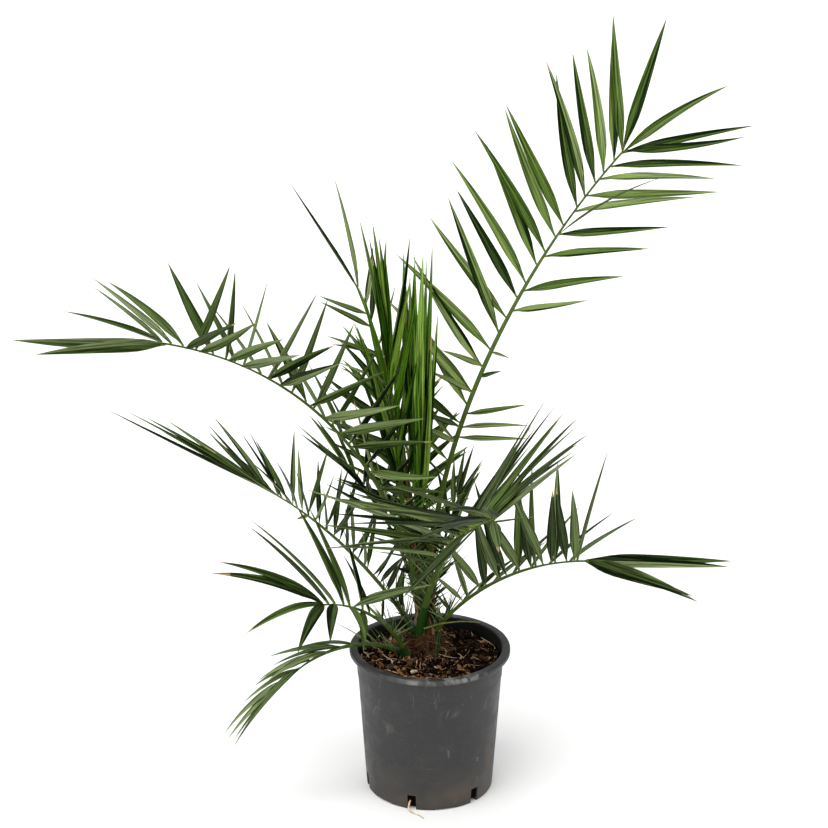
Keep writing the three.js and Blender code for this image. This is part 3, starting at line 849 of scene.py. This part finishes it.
def add_leaflets(shape, plan, random, deal=None):
    """Adds folded, tapering blades with their own upper and lower faces, dealt tints leaflet by leaflet."""
    count = len(plan["root"])
    crowded = (1 - np.cos(np.linspace(0, np.pi, STATIONS))) / 2
    t = mix(crowded, np.linspace(0, 1, STATIONS), 0.5)
    middles = (t[1:] + t[:-1]) / 2
    length = plan["length"][:, None]
    direction = plan["direction"]
    wide = np.cross(direction, plan["normal"])
    down = -UP - np.sum(-UP * direction, axis=-1, keepdims=True) * direction
    bend = down * np.radians(plan["droop"])[:, None] + wide * np.radians(plan["curl"])[:, None]

    def heading(share):
        return unit(direction[:, None] + (share - 0.5)[None, :, None] * bend[:, None])

    steps = heading(middles) * (np.diff(t)[None, :] * length)[..., None]
    path = plan["root"][:, None] + np.concatenate([np.zeros((count, 1, 3)), np.cumsum(steps, axis=1)], axis=1)
    wide = across(np.broadcast_to(wide[:, None], path.shape), heading(t))
    normal = np.cross(wide, heading(t))
    half = leaflet_half_widths(plan, t)[..., None]
    fold = np.radians(mix(FOLD_AT_FOOT, plan["fold"][:, None], smooth(t / FOLD_OPENS_BY)[None, :]))[..., None]
    thickness = np.where(SECTION_PLACE == 0, MIDRIB_THICKNESS, BLADE_THICKNESS) * SECTION_UNDER
    reach = np.abs(SECTION_PLACE)
    sideways = half * SECTION_PLACE * np.cos(fold)
    raised = half * reach * np.sin(fold) * mix(1.0, HOLLOW, reach)
    raised = raised - thickness * mix(1.0, TIP_THICKNESS_SHARE, t)[None, :, None]
    looks, tops = leaflet_looks(count, middles, random, deal)
    distance = np.broadcast_to((t * length)[..., None], sideways.shape)
    places = np.stack([half * SECTION_PLACE, distance], axis=-1) * MM
    shape.loft(section(path, wide, sideways, normal, raised), looks, places, tops)


# ---------------- ribs

RIB_ROWS = 64
RIB_RING = 12
SHEATH_FLARE = 4.5  # how much wider the foot clasps the crown
SHEATH_SHARE = 0.12
SHADED_STALK_SHARE = 0.4  # the stretch at the foot painted dark green as shade down in the crown, against the bare stalk
CHANNEL_HEIGHT = 0.45  # the upper side is flattened into a shallow channel
# The order of a stalk's materials.
STALK_GREEN, STALK_SHADED_FOOT, STALK_DRIED = range(3)


def add_rib(shape, frond):
    share = np.linspace(0, 1, RIB_ROWS)
    point, _, side, up = frond.at(share)
    radius = frond.rib_radius(share)
    flare = SHEATH_FLARE * (1 - smooth(share / SHEATH_SHARE))
    angles = circle(RIB_RING)
    sideways = np.cos(angles)[None, :] * (radius + flare)[:, None]
    raised = np.sin(angles)[None, :] * radius[:, None] * np.where(np.sin(angles) > 0.5, CHANNEL_HEIGHT, 1.0)
    # The foot of each stalk takes the painted shade.
    low = np.arange(RIB_ROWS - 1) / RIB_ROWS < SHADED_STALK_SHARE * frond.bare
    points = section(point, side, sideways, up, raised)
    shape.loft(points[None], np.where(low, STALK_SHADED_FOOT, STALK_GREEN)[:, None])


def make_frond(name, frond, stalk_looks, leaf_looks):
    random = dice(frond.number)
    ribs = Shape()
    add_rib(ribs, frond)
    finish_piece(ribs.mesh(f"{name}_rib", stalk_looks, 50), "stalk", f"{name}_petiole")
    leaflets = Shape()
    plans = [plan(frond, hand) for hand in (1, -1) for plan in (plan_leaflets, plan_spines)]
    if name in STRAYS:
        plans.append(plan_strays(frond, STRAYS[name]))
    for plan in plans:
        add_leaflets(leaflets, plan, random, frond.deal)
    blades = [f"{name}_blade_{index + 1}" for index in range(frond.blades)]
    finish_piece(leaflets.mesh(f"{name}_leaflets", leaf_looks[frond.slot], 25), frond.slot, *blades)


# ---------------- pot

POT_HEIGHT = 206.5
RIM_RADIUS = 110.0
BASE_RADIUS = 87.2
WALL_RADIUS_AT_LIP = 100.5
LIP_HEIGHT = 8.0
LIP_ROUNDING = 2.6
LIP_FILLET = 1.6
POT_WALL = 2.2
POT_FLOOR = 3.0
FOOT_ROUNDING = 2.0
BAND_DROP = 31.0  # from the lip's lower edge to the moulded ring
BAND_STEP = 0.8
POT_SEGMENTS = 240
RIM_SAG = 0.5  # how unevenly the soft rim stands, up and down
SAG_FROM = 0.6  # of the height
SLOT_COUNT = 6
SLOT_FIRST_ANGLE = -106.0
SLOT_CUT = (18.0, 12.0, 22.0)  # across the wall, along it and up it
NOTCH_CUT = (10.0, 27.0, 2.0)


def arc(centre, radius, start, end, steps=5):
    """Points (radius, height) of a rounded edge, with its angles in degrees."""
    angles = np.radians(np.linspace(start, end, steps))
    return [(centre[0] + radius * math.cos(angle), centre[1] + radius * math.sin(angle)) for angle in angles]


def pot_radius_at(height):
    return mix(BASE_RADIUS, WALL_RADIUS_AT_LIP, height / (POT_HEIGHT - LIP_HEIGHT))


def pot_profile():
    """Up the outside from the foot, over the lip and down the inside to the floor."""
    lip_foot = POT_HEIGHT - LIP_HEIGHT
    band = lip_foot - BAND_DROP
    rounding_at = RIM_RADIUS - LIP_ROUNDING
    inner = WALL_RADIUS_AT_LIP - POT_WALL
    foot_inner = BASE_RADIUS - POT_WALL
    return (
        arc((BASE_RADIUS - FOOT_ROUNDING, FOOT_ROUNDING), FOOT_ROUNDING, -90, 0)
        + [(pot_radius_at(z), z) for z in np.linspace(8, band - 1, 8)]
        + [(pot_radius_at(band) + BAND_STEP * share, band + BAND_STEP * share) for share in (0, 0.5, 1)]
        + [(pot_radius_at(z) + BAND_STEP * (lip_foot - z) / BAND_DROP, z) for z in (band + 8, band + 20)]
        + arc((WALL_RADIUS_AT_LIP + LIP_FILLET, lip_foot - LIP_FILLET), LIP_FILLET, 180, 90, 4)
        + arc((rounding_at, lip_foot + LIP_ROUNDING), LIP_ROUNDING, -90, 0)
        + arc((rounding_at, POT_HEIGHT - LIP_ROUNDING), LIP_ROUNDING, 0, 90)
        + arc((WALL_RADIUS_AT_LIP + 1, POT_HEIGHT - LIP_FILLET * 2), LIP_FILLET * 2, 90, 180)
        + [(mix(inner, foot_inner, share), mix(lip_foot - 4, POT_FLOOR + 3, share)) for share in (0, 0.5, 1)]
        + [(foot_inner - 2, POT_FLOOR)]
    )


def lathe(shape, profile, segments, look):
    """A closed body of turning, whose first and last rings are closed by flat faces. Returns its points."""
    angles = circle(segments)
    radius, height = np.array(profile).T[..., None]
    points = np.stack([radius * np.cos(angles), radius * np.sin(angles), height * np.ones(segments)], axis=-1)
    shape.loft(points[None], look)
    return shape.points[-1]


def add_block(shape, angle, size):
    """A box across the pot's foot at an angle in degrees, as high above the floor as below it."""
    corners = np.array([(x, y, z) for x in (-1, 1) for y in (-1, 1) for z in (-1, 1)]) / 2
    x, y, z = (corners * size * (1, 1, 2)).T
    x = x + BASE_RADIUS
    turn = math.radians(angle)
    level = (x * math.cos(turn) - y * math.sin(turn), x * math.sin(turn) + y * math.cos(turn))
    points = np.stack([*level, z], axis=-1)
    sides = [(0, 1, 3, 2), (4, 6, 7, 5), (0, 4, 5, 1), (2, 3, 7, 6), (0, 2, 6, 4), (1, 5, 7, 3)]
    shape.add(points, [(sides, 0)])


def cut_away(piece, cutter):
    modifier = piece.modifiers.new("cut", "BOOLEAN")
    modifier.operation = "DIFFERENCE"
    modifier.solver = "EXACT"
    modifier.object = cutter
    scene_state = bpy.context.evaluated_depsgraph_get()
    mesh = bpy.data.meshes.new_from_object(piece.evaluated_get(scene_state))
    piece.modifiers.clear()
    piece.data = mesh
    shade(mesh, 30)
    bpy.data.objects.remove(cutter)


def make_pot():
    shell = Shape()
    points = lathe(shell, pot_profile(), POT_SEGMENTS, 0)
    angle = np.arctan2(points[:, 1], points[:, 0])
    high = smooth((points[:, 2] - POT_HEIGHT * SAG_FROM) / (POT_HEIGHT * (1 - SAG_FROM)))
    points[:, 2] += high * RIM_SAG * (np.sin(2 * angle + 0.6) + 0.5 * np.sin(5 * angle)) - high * RIM_SAG
    # The inner wall gets a darker plastic: painted shade inside the pot.
    in_painted_shade = np.hypot(points[:, 0], points[:, 1]) < pot_radius_at(points[:, 2]) - POT_WALL / 2
    shell.looks = [int(in_painted_shade[face].all()) for face in shell.faces]
    looks = [pot_material(), plain_material("pot_inside_painted_shade", POT_TINTS["inside"], 0.6, 60, 0.2)]
    piece = shell.mesh("pot_shell", looks, 30)
    cutters = Shape()
    turn = 360 / SLOT_COUNT
    for index in range(SLOT_COUNT):
        angle = SLOT_FIRST_ANGLE + index * turn
        add_block(cutters, angle, SLOT_CUT)
        add_block(cutters, angle + turn / 2, NOTCH_CUT)
    cut_away(piece, cutters.mesh("pot_cutters", []))
    finish_piece(piece, "pot", "pot")


# ---------------- potting mix

SOIL_LEVEL = 190.0
SOIL_MOUND = 5.0
SOIL_RIPPLE = 2.2
HEAP_PLACE = (-7.0, -6.0)  # the mix is heaped up round the stem
HEAP_HEIGHT = 15.0
HEAP_SPREAD = 27.0
SOIL_SEGMENTS = 180
SOIL_RINGS = 56
SOIL_GAP = 0.8  # between the mix and the pot's wall
SOIL_SHOULDER = 12.0  # how far under the top its side ends
# Chips, crumbs and shreds of bark: their number, their lengths and their widths against these.
CHIP_KINDS = (
    (640, (7, 17), (0.3, 0.7)),
    (900, (2.5, 6), (0.5, 0.9)),
    (460, (10, 28), (0.07, 0.16)),
)
FLAKE_CORNERS = np.radians(np.arange(6) * 60)
FLAKE_LEAN = 34  # spread of their tilt, in degrees
STRAW_COUNT = 42
STRAW_ROWS = 9
STRAWS_SPREAD = 0.78  # against the whole bed
STRAWS_MIDDLE = (-22.0, -14.0)  # most lie to the left and the front
STRAW_RADII = (0.85, 0.5)  # of those that show well, and of the rest
# Straws that show well: their two ends on the bed, and how far the middle bows sideways.
STRAWS = (
    ((-84, 72), (-54, 53), 2), ((-64, -4), (-36, -29), -3), ((-92, 8), (-77, -32), 2),
    ((21, 41), (37, 9), 2), ((71, 61), (88, 13), 9), ((-58, -48), (-20, -66), -4),
)
# A root that has grown out of a slot on to the floor.
DRAIN_ROOT_RADIUS = 1.3
DRAIN_ROOT = (
    (-24, -76, 15), (-29, -87, 7), (-27, -92, 2), (-19, -98, 1.2), (-12, -103, 1.2), (-8, -110, 1.2),
)
CHIP_TINTS = {
    "black_peat": (0.003, 0.0016, 0.001),
    "dark_bark": (0.014, 0.006, 0.003),
    "bark": (0.060, 0.030, 0.015),
    "tan_bark": (0.23, 0.140, 0.076),
    "rust_bark": (0.22, 0.090, 0.028),
    "pale_wood": (0.54, 0.43, 0.31),
}
# How light the bed is in its middle, how that changes with each millimetre to the right and to the back, and
# how often and how much it is dimmer on the right: painted light and shade, lighter towards the front and the
# left and darker towards the right and the back.
PAINTED_LIGHT_MIDDLE = 0.40
PAINTED_LIGHT_SLOPE = (-0.0035, -0.0045)
PAINTED_SHADE_FROM, PAINTED_SHADE_CHANCE, PAINTED_SHADE_SHARE = 15, 0.6, 0.25
DARKEST_CHANCE = 0.45  # among the two dark tints
BARK_CHANCE = 0.72  # among the two middle tints
BRIGHT_DEAL = (0.5, 0.43, 0.07)  # among the three light tints
STRAW_TINT = (0.54, 0.40, 0.26)
ROOT_TINT = (0.22, 0.13, 0.07)
LITTER_GLOSS = 0.05


def soil_height(x, y):
    away = np.hypot(x, y) / WALL_RADIUS_AT_LIP
    ripple = np.sin(x / 13 + 1) * np.cos(y / 17) + 0.6 * np.sin((x - 2 * y) / 19)
    heap = np.exp(-((x - HEAP_PLACE[0]) ** 2 + (y - HEAP_PLACE[1]) ** 2) / HEAP_SPREAD ** 2)
    return SOIL_LEVEL + SOIL_MOUND * (0.5 - away ** 2) + SOIL_RIPPLE * ripple + HEAP_HEIGHT * heap


def lumps(x, y, random, wavelength, count=14):
    """Uneven ground of about unit height: many plane waves of mixed directions and near lengths."""
    turns = random.uniform(0, 2 * np.pi, (3, count))
    size = 2 * np.pi / (wavelength * random.uniform(0.7, 1.5, count))
    total = sum(np.sin(size[i] * (x * np.cos(turns[0, i]) + y * np.sin(turns[0, i])) + turns[1, i])
                for i in range(count))
    return total / math.sqrt(count)


def soil_radius_at(height):
    return pot_radius_at(height) - POT_WALL - SOIL_GAP


def make_soil_bed():
    """The bed, uneven on top and reaching down inside the pot, so that it shows through the slots."""
    random = dice(SOIL_DRAWS)
    foot = POT_FLOOR + SOIL_GAP
    shoulder = SOIL_LEVEL - SOIL_SHOULDER
    profile = [(soil_radius_at(foot) - 2, foot), (soil_radius_at(foot), POT_FLOOR + 4),
               (soil_radius_at(shoulder), shoulder)]
    edge = soil_radius_at(SOIL_LEVEL)
    profile += [(edge * share, SOIL_LEVEL) for share in np.linspace(1, 0.012, SOIL_RINGS)]
    bed = Shape()
    points = lathe(bed, profile, SOIL_SEGMENTS, 0)
    top = points[:, 2] > SOIL_LEVEL - 1
    x, y = points[top, 0], points[top, 1]
    clods = 1.3 * lumps(x, y, random, 16) + 0.7 * lumps(x, y, random, 7)
    points[top, 2] = soil_height(x, y) + clods
    look = plain_material("soil_bed", CHIP_TINTS["black_peat"], 0.95, 420, 1.2, 0.03)
    finish_piece(bed.mesh("soil_bed", [look], 60), "potting_mix", "soil")


def bed_places(random, count):
    """Places spread evenly over the bed, clear of the pot's wall."""
    radius = (pot_radius_at(SOIL_LEVEL) - POT_WALL - 4) * np.sqrt(random.random(count))
    angle = random.uniform(0, 2 * np.pi, count)
    return radius * np.cos(angle), radius * np.sin(angle)


def outward(angle):
    """Level directions at angles, with one row for each."""
    return np.stack([np.cos(angle), np.sin(angle), 0 * angle], axis=-1)


def add_flakes(shape, x, y, size, looks, random):
    """Angular flakes lying on the bed, each tilted its own way: size is their length, width and thickness."""
    count = len(x)
    length, width, thick = size
    normal = unit(UP + np.tan(np.radians(random.normal(0, FLAKE_LEAN, (count, 3)))) * (1, 1, 0) * 0.7)
    long_way = across(outward(random.uniform(0, 2 * np.pi, count)), normal)
    wide_way = np.cross(normal, long_way)
    corner = FLAKE_CORNERS + random.normal(0, 0.25, (count, len(FLAKE_CORNERS)))
    reach = random.uniform(0.7, 1.15, corner.shape) / 2
    along = np.cos(corner) * reach * length[:, None]
    sideways = np.sin(corner) * reach * width[:, None]
    centre = np.stack([x, y, soil_height(x, y) + random.uniform(-0.6, 3.6, count)], axis=-1)
    outline = section(centre, long_way, along, wide_way, sideways)
    half = normal[:, None] * thick[:, None, None] / 2
    shape.loft(np.stack([outline - half, outline + half], axis=1), looks[:, None, None])


def chip_looks(x, y, random):
    """Dark chips everywhere, with light and orange ones mostly towards the front and the left, so that the
    bed is painted in shade towards the right and the back.
    """
    count = len(x)
    # Painted light and shade: fewer light chips towards the right and the back.
    light = clamp01(PAINTED_LIGHT_MIDDLE + PAINTED_LIGHT_SLOPE[0] * x + PAINTED_LIGHT_SLOPE[1] * y)
    draw = random.random(count)
    dark = np.where(random.random(count) < DARKEST_CHANCE, 0, 1)
    middle = np.where(random.random(count) < BARK_CHANCE, 2, 3)
    bright = random.choice([3, 4, 5], count, p=BRIGHT_DEAL)
    light = light * np.where((x > PAINTED_SHADE_FROM) & (random.random(count) < PAINTED_SHADE_CHANCE), PAINTED_SHADE_SHARE, 1.0)
    return np.where(draw < 0.30 * light, bright, np.where(draw < 0.25 + 0.5 * light, middle, dark))


def make_chips():
    random = dice(CHIP_DRAWS)
    chips = Shape()
    for count, size, slender in CHIP_KINDS:
        x, y = bed_places(random, count)
        length = random.uniform(*size, count) * random.uniform(0.6, 1.0, count)
        width = length * random.uniform(*slender, count)
        thick = np.clip(width * 0.35, 0.5, 2.8)
        add_flakes(chips, x, y, (length, width, thick), chip_looks(x, y, random), random)
    looks = [plain_material(name, tint, 0.9, 500, 0.4, LITTER_GLOSS) for name, tint in CHIP_TINTS.items()]
    finish_piece(chips.mesh("soil_chips", looks, 20), "potting_mix")


def straw_path(start, end, bow, random):
    """A straw's path over the bed, bowed sideways and kept inside the pot."""
    share = np.linspace(0, 1, STRAW_ROWS)
    run = end - start
    line = mix(start[None], end[None], share[:, None])
    line = line + np.array([-run[1], run[0]]) / np.hypot(*run) * (bow * np.sin(share * np.pi))[:, None]
    reach = pot_radius_at(SOIL_LEVEL) - POT_WALL - 3
    line = line * np.minimum(1, reach / np.maximum(np.hypot(*line.T), 1e-6))[:, None]
    rise = soil_height(line[:, 0], line[:, 1]) + 2.0 + 1.2 * np.sin(share * np.pi * random.uniform(1, 2.5))
    return np.column_stack([line, rise])


def make_straws():
    random = dice(STRAW_DRAWS)
    places = np.column_stack(bed_places(random, STRAW_COUNT))
    yaw = random.uniform(0, 2 * np.pi, STRAW_COUNT)
    length = random.uniform(12, 38, STRAW_COUNT)
    starts = places * STRAWS_SPREAD + STRAWS_MIDDLE
    ends = starts + np.column_stack([np.cos(yaw), np.sin(yaw)]) * length[:, None]
    straws = [*STRAWS, *zip(starts, ends, random.normal(0, 3, STRAW_COUNT))]
    paths = [straw_path(np.array(start), np.array(end), bow, random) for start, end, bow in straws]
    share = np.linspace(0, 1, STRAW_ROWS)
    paths.append(through(DRAIN_ROOT, share))
    radii = np.where(np.arange(len(paths)) < len(STRAWS), *STRAW_RADII)[:, None]
    radii[-1] = DRAIN_ROOT_RADIUS
    radii = radii * mix(1.0, 0.55, share)[None, :]
    shape = Shape()
    add_tubes(shape, np.array(paths), radii, random.integers(0, 2, len(paths)))
    looks = [plain_material("straw", STRAW_TINT, 0.8, 300, 0.2), plain_material("root", ROOT_TINT, 0.85)]
    finish_piece(shape.mesh("soil_straws", looks, 60), "potting_mix")


# ---------------- crown base

CROWN_PLACE = (-5.0, 1.0)
CROWN_FOOT_RADIUS = 24.0
CROWN_TOP_RADIUS = 16.0
CROWN_TOP = 229.0
CROWN_SUNK = 6.0
CROWN_SEGMENTS = 96
HAIR_COUNT = 620
STRIP_COUNT = 22
STRIP_ROWS = 14
LONG_STRIPS = (190, 150, 120, 165)  # the lengths of the first few
STRIP_FOOT = SOIL_LEVEL + 24
FIBRE_TINTS = {
    "dark_fibre": (0.016, 0.008, 0.004),
    "brown_fibre": (0.055, 0.026, 0.012),
    "red_fibre": (0.12, 0.050, 0.018),
    "tan_fibre": (0.17, 0.105, 0.055),
}
# Long strands of torn sheath that stand in the gap beside the furled leaf: foot, head, half width and tint.
STRANDS = (
    ((-12, -12, 236), (-37, -6, 556), 1.7, 2),
    ((-14, -9, 236), (-31, -9, 470), 2.3, 1),
    ((-16, -12, 232), (-21, -12, 292), 2.0, 3),
    ((-9, -12, 232), (-16, -12, 318), 2.2, 1),
    ((4, -6, 236), (0, -8, 400), 1.5, 2),
)


def crown_radius_at(height):
    share = clamp01((height - SOIL_LEVEL) / (CROWN_TOP - SOIL_LEVEL))
    return mix(CROWN_FOOT_RADIUS, CROWN_TOP_RADIUS, share ** 0.8)


def make_crown():
    """The palm's short stem: overlapping old sheaths, matted with hair, with strips of torn sheath above."""
    random = dice(CROWN_DRAWS)
    heights = np.linspace(SOIL_LEVEL - CROWN_SUNK, CROWN_TOP - 3, 22)
    profile = [(float(crown_radius_at(z)), float(z)) for z in heights]
    profile += [(CROWN_TOP_RADIUS * 0.75, CROWN_TOP - 0.5), (CROWN_TOP_RADIUS * 0.3, CROWN_TOP)]
    stem = Shape()
    points = lathe(stem, profile, CROWN_SEGMENTS, 1)
    angle = np.arctan2(points[:, 1], points[:, 0])
    height = points[:, 2]
    swell = 1 + 0.07 * np.sin(5 * angle + height / 9) + 0.05 * np.sin(13 * angle - height / 5)
    points[:, :2] *= (swell + 0.03 * np.sin(31 * angle))[:, None]
    points[:, :2] += CROWN_PLACE
    add_hairs(stem, random)
    looks = [plain_material(name, tint, 0.95, 500, 0.5, LITTER_GLOSS) for name, tint in FIBRE_TINTS.items()]
    finish_piece(stem.mesh("crown_fibre", looks, 50), "base_fibre", "crown_base")
    strips = Shape()
    add_strips(strips, random)
    add_strands(strips)
    finish_piece(strips.mesh("sheath_strips", looks, 40), "base_fibre")


def add_hairs(shape, random):
    """Fine fibres that rise out of the stem and bend over."""
    angle = random.uniform(0, 2 * np.pi, HAIR_COUNT)
    height = random.uniform(SOIL_LEVEL - 1, CROWN_TOP - 2, HAIR_COUNT)
    out = outward(angle)
    root = out * (crown_radius_at(height) * random.uniform(0.75, 1.03, HAIR_COUNT))[:, None]
    root[:, :2] += CROWN_PLACE
    root[:, 2] = height
    side = np.cross(UP, out)
    length = random.uniform(7, 26, HAIR_COUNT)[:, None, None]
    share = np.linspace(0, 1, 6)[None, :, None]
    lean = random.normal(0, 0.5, HAIR_COUNT)[:, None, None]
    spread = random.uniform(0.3, 1.0, HAIR_COUNT)[:, None, None]
    rise = random.uniform(-0.1, 1.0, HAIR_COUNT)[:, None, None]
    level = out[:, None] * spread * share + side[:, None] * lean * share ** 2
    paths = root[:, None] + (level + UP * (rise * share - 0.5 * share ** 2)) * length
    paths[..., 2] = np.maximum(paths[..., 2], soil_height(paths[..., 0], paths[..., 1]) + 0.8)
    radii = random.uniform(0.22, 0.55, HAIR_COUNT)[:, None] * mix(1.0, 0.3, share[..., 0])
    add_tubes(shape, paths, radii, random.integers(0, 4, HAIR_COUNT), 4)


def add_strips(shape, random):
    """Torn brown sheaths: thin ribbons that stand up between the stalks."""
    angle = random.uniform(0, 2 * np.pi, STRIP_COUNT)
    length = random.uniform(26, 95, STRIP_COUNT)
    length[:len(LONG_STRIPS)] = LONG_STRIPS
    share = np.linspace(0, 1, STRIP_ROWS)
    out = outward(angle)
    side = np.cross(UP, out)
    away = (CROWN_TOP_RADIUS * random.uniform(0.7, 1.05, STRIP_COUNT))[:, None] * (1 - 0.25 * share)[None, :]
    sway = 2.5 * np.sin(share[None, :] * random.uniform(3, 7, STRIP_COUNT)[:, None] + angle[:, None])
    paths = out[:, None] * away[..., None] + side[:, None] * sway[..., None]
    paths[..., :2] += CROWN_PLACE
    paths[..., 2] = STRIP_FOOT + share[None, :] * length[:, None]
    half = random.uniform(1.4, 3.6, STRIP_COUNT)[:, None] * (1 - share[None, :] ** 2 * 0.85)
    turn = (np.linspace(0, 1.6, STRIP_ROWS)[None, :] * random.normal(0, 1, STRIP_COUNT)[:, None])[..., None]
    wide_way = side[:, None] * np.cos(turn) + out[:, None] * np.sin(turn)
    deep_way = out[:, None] * np.cos(turn) - side[:, None] * np.sin(turn)
    deep = np.maximum(half * 0.15, 0.25)
    points = np.stack([paths + wide_way * (half * edge)[..., None] + deep_way * deep[..., None] * face
                       for edge, face in ((-1, -1), (1, -1), (1, 1), (-1, 1))], axis=2)
    looks = random.choice([0, 1, 2, 3], STRIP_COUNT, p=[0.35, 0.3, 0.2, 0.15])
    shape.loft(points, looks[:, None, None])


def add_strands(shape):
    share = np.linspace(0, 1, 30)
    feet, heads, half, looks = (np.array(column)[:, None] for column in zip(*STRANDS))
    paths = mix(feet, heads, share[None, :, None])
    order = np.arange(len(STRANDS))[:, None]
    paths[..., 0] += 2.2 * np.sin(share * (7 + 2 * order) + order)
    paths[..., 1] += 1.5 * np.cos(share * (5 + order))
    radii = half * (1 - 0.7 * share ** 2) * (1 + 0.35 * np.sin(share * 37 + order * 2))
    add_tubes(shape, paths, radii, looks[:, 0], 6)


# ---------------- spear

# The furled leaf is a flat bundle of pleats, broad to the front: one row of each kind from front to back.
SPEAR_PLACE = (-15.0, -2.0)
SPEAR_FOOT = 396.0  # height at which the pleats begin
SPEAR_RISE = 110.0  # how far up its stalk they go on beginning
SPEAR_TOPS = (610.0, 785.0)
SPEAR_ROWS = ((-5.0, 9), (0.0, 7), (5.0, 8))  # depth and number of pleats
SPEAR_FOOT_SPREAD = 3.5  # half the bundle's width at the foot
SPEAR_SPLAY = 3.8  # mean lean of the outermost pleats, in degrees
SPEAR_LEAN = 0.8  # of the whole bundle to the right
SPEAR_CURL = -3.0  # how that lean changes on the way up
SPEAR_STALK = ((-6.0, -2.0, 222.0), (-15.5, -2.0, 330.0), (-15.0, -2.0, 520.0))
SPEAR_STALK_RADII = (7.0, 6.0, 2.0)
STALK_ROWS = 24


def make_stalk(name, path, radii, look, ring, stalk_looks):
    stalk = Shape()
    add_tubes(stalk, path[None], radii[None], np.array([look]), ring)
    finish_piece(stalk.mesh(name, stalk_looks, 50), "stalk")


def make_spear(leaf_looks, stalk_looks):
    random = dice(SPEAR_DRAWS)
    depth = np.concatenate([np.full(count, row) for row, count in SPEAR_ROWS])
    place = np.concatenate([np.linspace(-1, 1, count) for _, count in SPEAR_ROWS])
    count = len(place)
    place = place + random.normal(0, 0.06, count)
    facing_way = np.where(depth > 2, 1.0, -1.0)  # the rear pleats open to the back
    foot = SPEAR_FOOT + SPEAR_RISE * random.random(count)
    sideways = place * SPEAR_FOOT_SPREAD * (1 + (foot - SPEAR_FOOT) / SPEAR_RISE)
    lean = np.tan(np.radians(place * SPEAR_SPLAY + SPEAR_LEAN))
    direction = unit(np.column_stack([lean, 0.008 * depth, np.ones(count)]))
    open_way = np.column_stack([0.3 * random.normal(0, 1, count), facing_way, 0 * facing_way])
    plan = plan_of(
        np.column_stack([SPEAR_PLACE[0] + sideways, SPEAR_PLACE[1] + depth, foot]), direction,
        across(open_way, direction), length=mix(*SPEAR_TOPS, random.random(count) ** 1.4) - foot, droop=0.0,
        curl=-facing_way * SPEAR_CURL * place + random.normal(0, 1.2, count),
        fold=random.uniform(FOLD, FURLED_FOLD, count), width=random.uniform(0.7, 1.15, count))
    bundle = Shape()
    add_leaflets(bundle, plan, random)
    finish_piece(bundle.mesh("spear_leaflets", leaf_looks, 25), "leaf_young", "spear")
    share = np.linspace(0, 1, STALK_ROWS)
    path = through(SPEAR_STALK, share)
    path[:, 0] += 1.5 * np.sin(share * 9)
    radii = np.interp(share, np.linspace(0, 1, len(SPEAR_STALK)), SPEAR_STALK_RADII)
    # The spear's stalk, deep in the crown, is in painted shade all along.
    make_stalk("spear_stalk", path, radii, STALK_SHADED_FOOT, 12, stalk_looks)


# ---------------- odd pieces at the foot

# A thin dried stalk that lies out over the bed, and a withered leaflet that hangs from the crown.
LOW_STALK = ((-8, -14, 238), (14, -17, 247), (42, -12, 248), (68, -4, 243))
LOW_STALK_RADIUS = 1.5
WITHERED_ROOT = (13.0, -14.0, 236.0)
WITHERED_RUN = (-3.0, -10.0, -34.0)
WITHERED_FACE = (0.2, 1.0, 0.0)
WITHERED_FOLD = 48.0


def make_odd_pieces(stalk_looks, leaf_looks):
    share = np.linspace(0, 1, STALK_ROWS)
    radii = LOW_STALK_RADIUS * (1 - 0.6 * share)
    make_stalk("low_stalk", through(LOW_STALK, share), radii, STALK_DRIED, 8, stalk_looks)
    direction = unit(np.array([WITHERED_RUN]))
    length = np.linalg.norm([WITHERED_RUN], axis=1) * 1.3
    normal = across(np.array([WITHERED_FACE]), direction)
    plan = plan_of(np.array([WITHERED_ROOT]), direction, normal, length, width=1.3, droop=20.0, curl=20.0,
                   fold=WITHERED_FOLD)
    leaf = Shape()
    add_leaflets(leaf, plan, dice(WITHERED_DRAWS))
    finish_piece(leaf.mesh("withered_leaflet", leaf_looks, 25), "leaf_old")


# ---------------- floor

FLOOR_SIDE = 60.0  # metres


def make_floor():
    half = FLOOR_SIDE / 2 / MM
    corners = [(-half, -half, 0), (half, -half, 0), (half, half, 0), (-half, half, 0)]
    floor = Shape()
    floor.add(corners, [([(0, 1, 2, 3)], 0)])
    floor.mesh("floor", [floor_material()])


# ---------------- the plant

make_camera()
make_world()
make_suns()
make_floor()

stalk_looks = [
    stalk_material("stalk_green", STALK, STALK_SCURF),
    stalk_material("stalk_foot_painted_shade", SHADED_STALK_TINT, STALK),
    stalk_material("stalk_dry", STALK_DRY, STALK_SCURF),
]
leaf_looks = {slot: leaf_materials(slot) for slot in LEAF_TINTS}
for frond_name, frond_law in FRONDS.items():
    make_frond(frond_name, frond_law, stalk_looks, leaf_looks)

make_spear(leaf_looks["leaf_young"], stalk_looks)
make_crown()
make_odd_pieces(stalk_looks, leaf_looks["leaf_old"])
make_soil_bed()
make_chips()
make_straws()
make_pot()
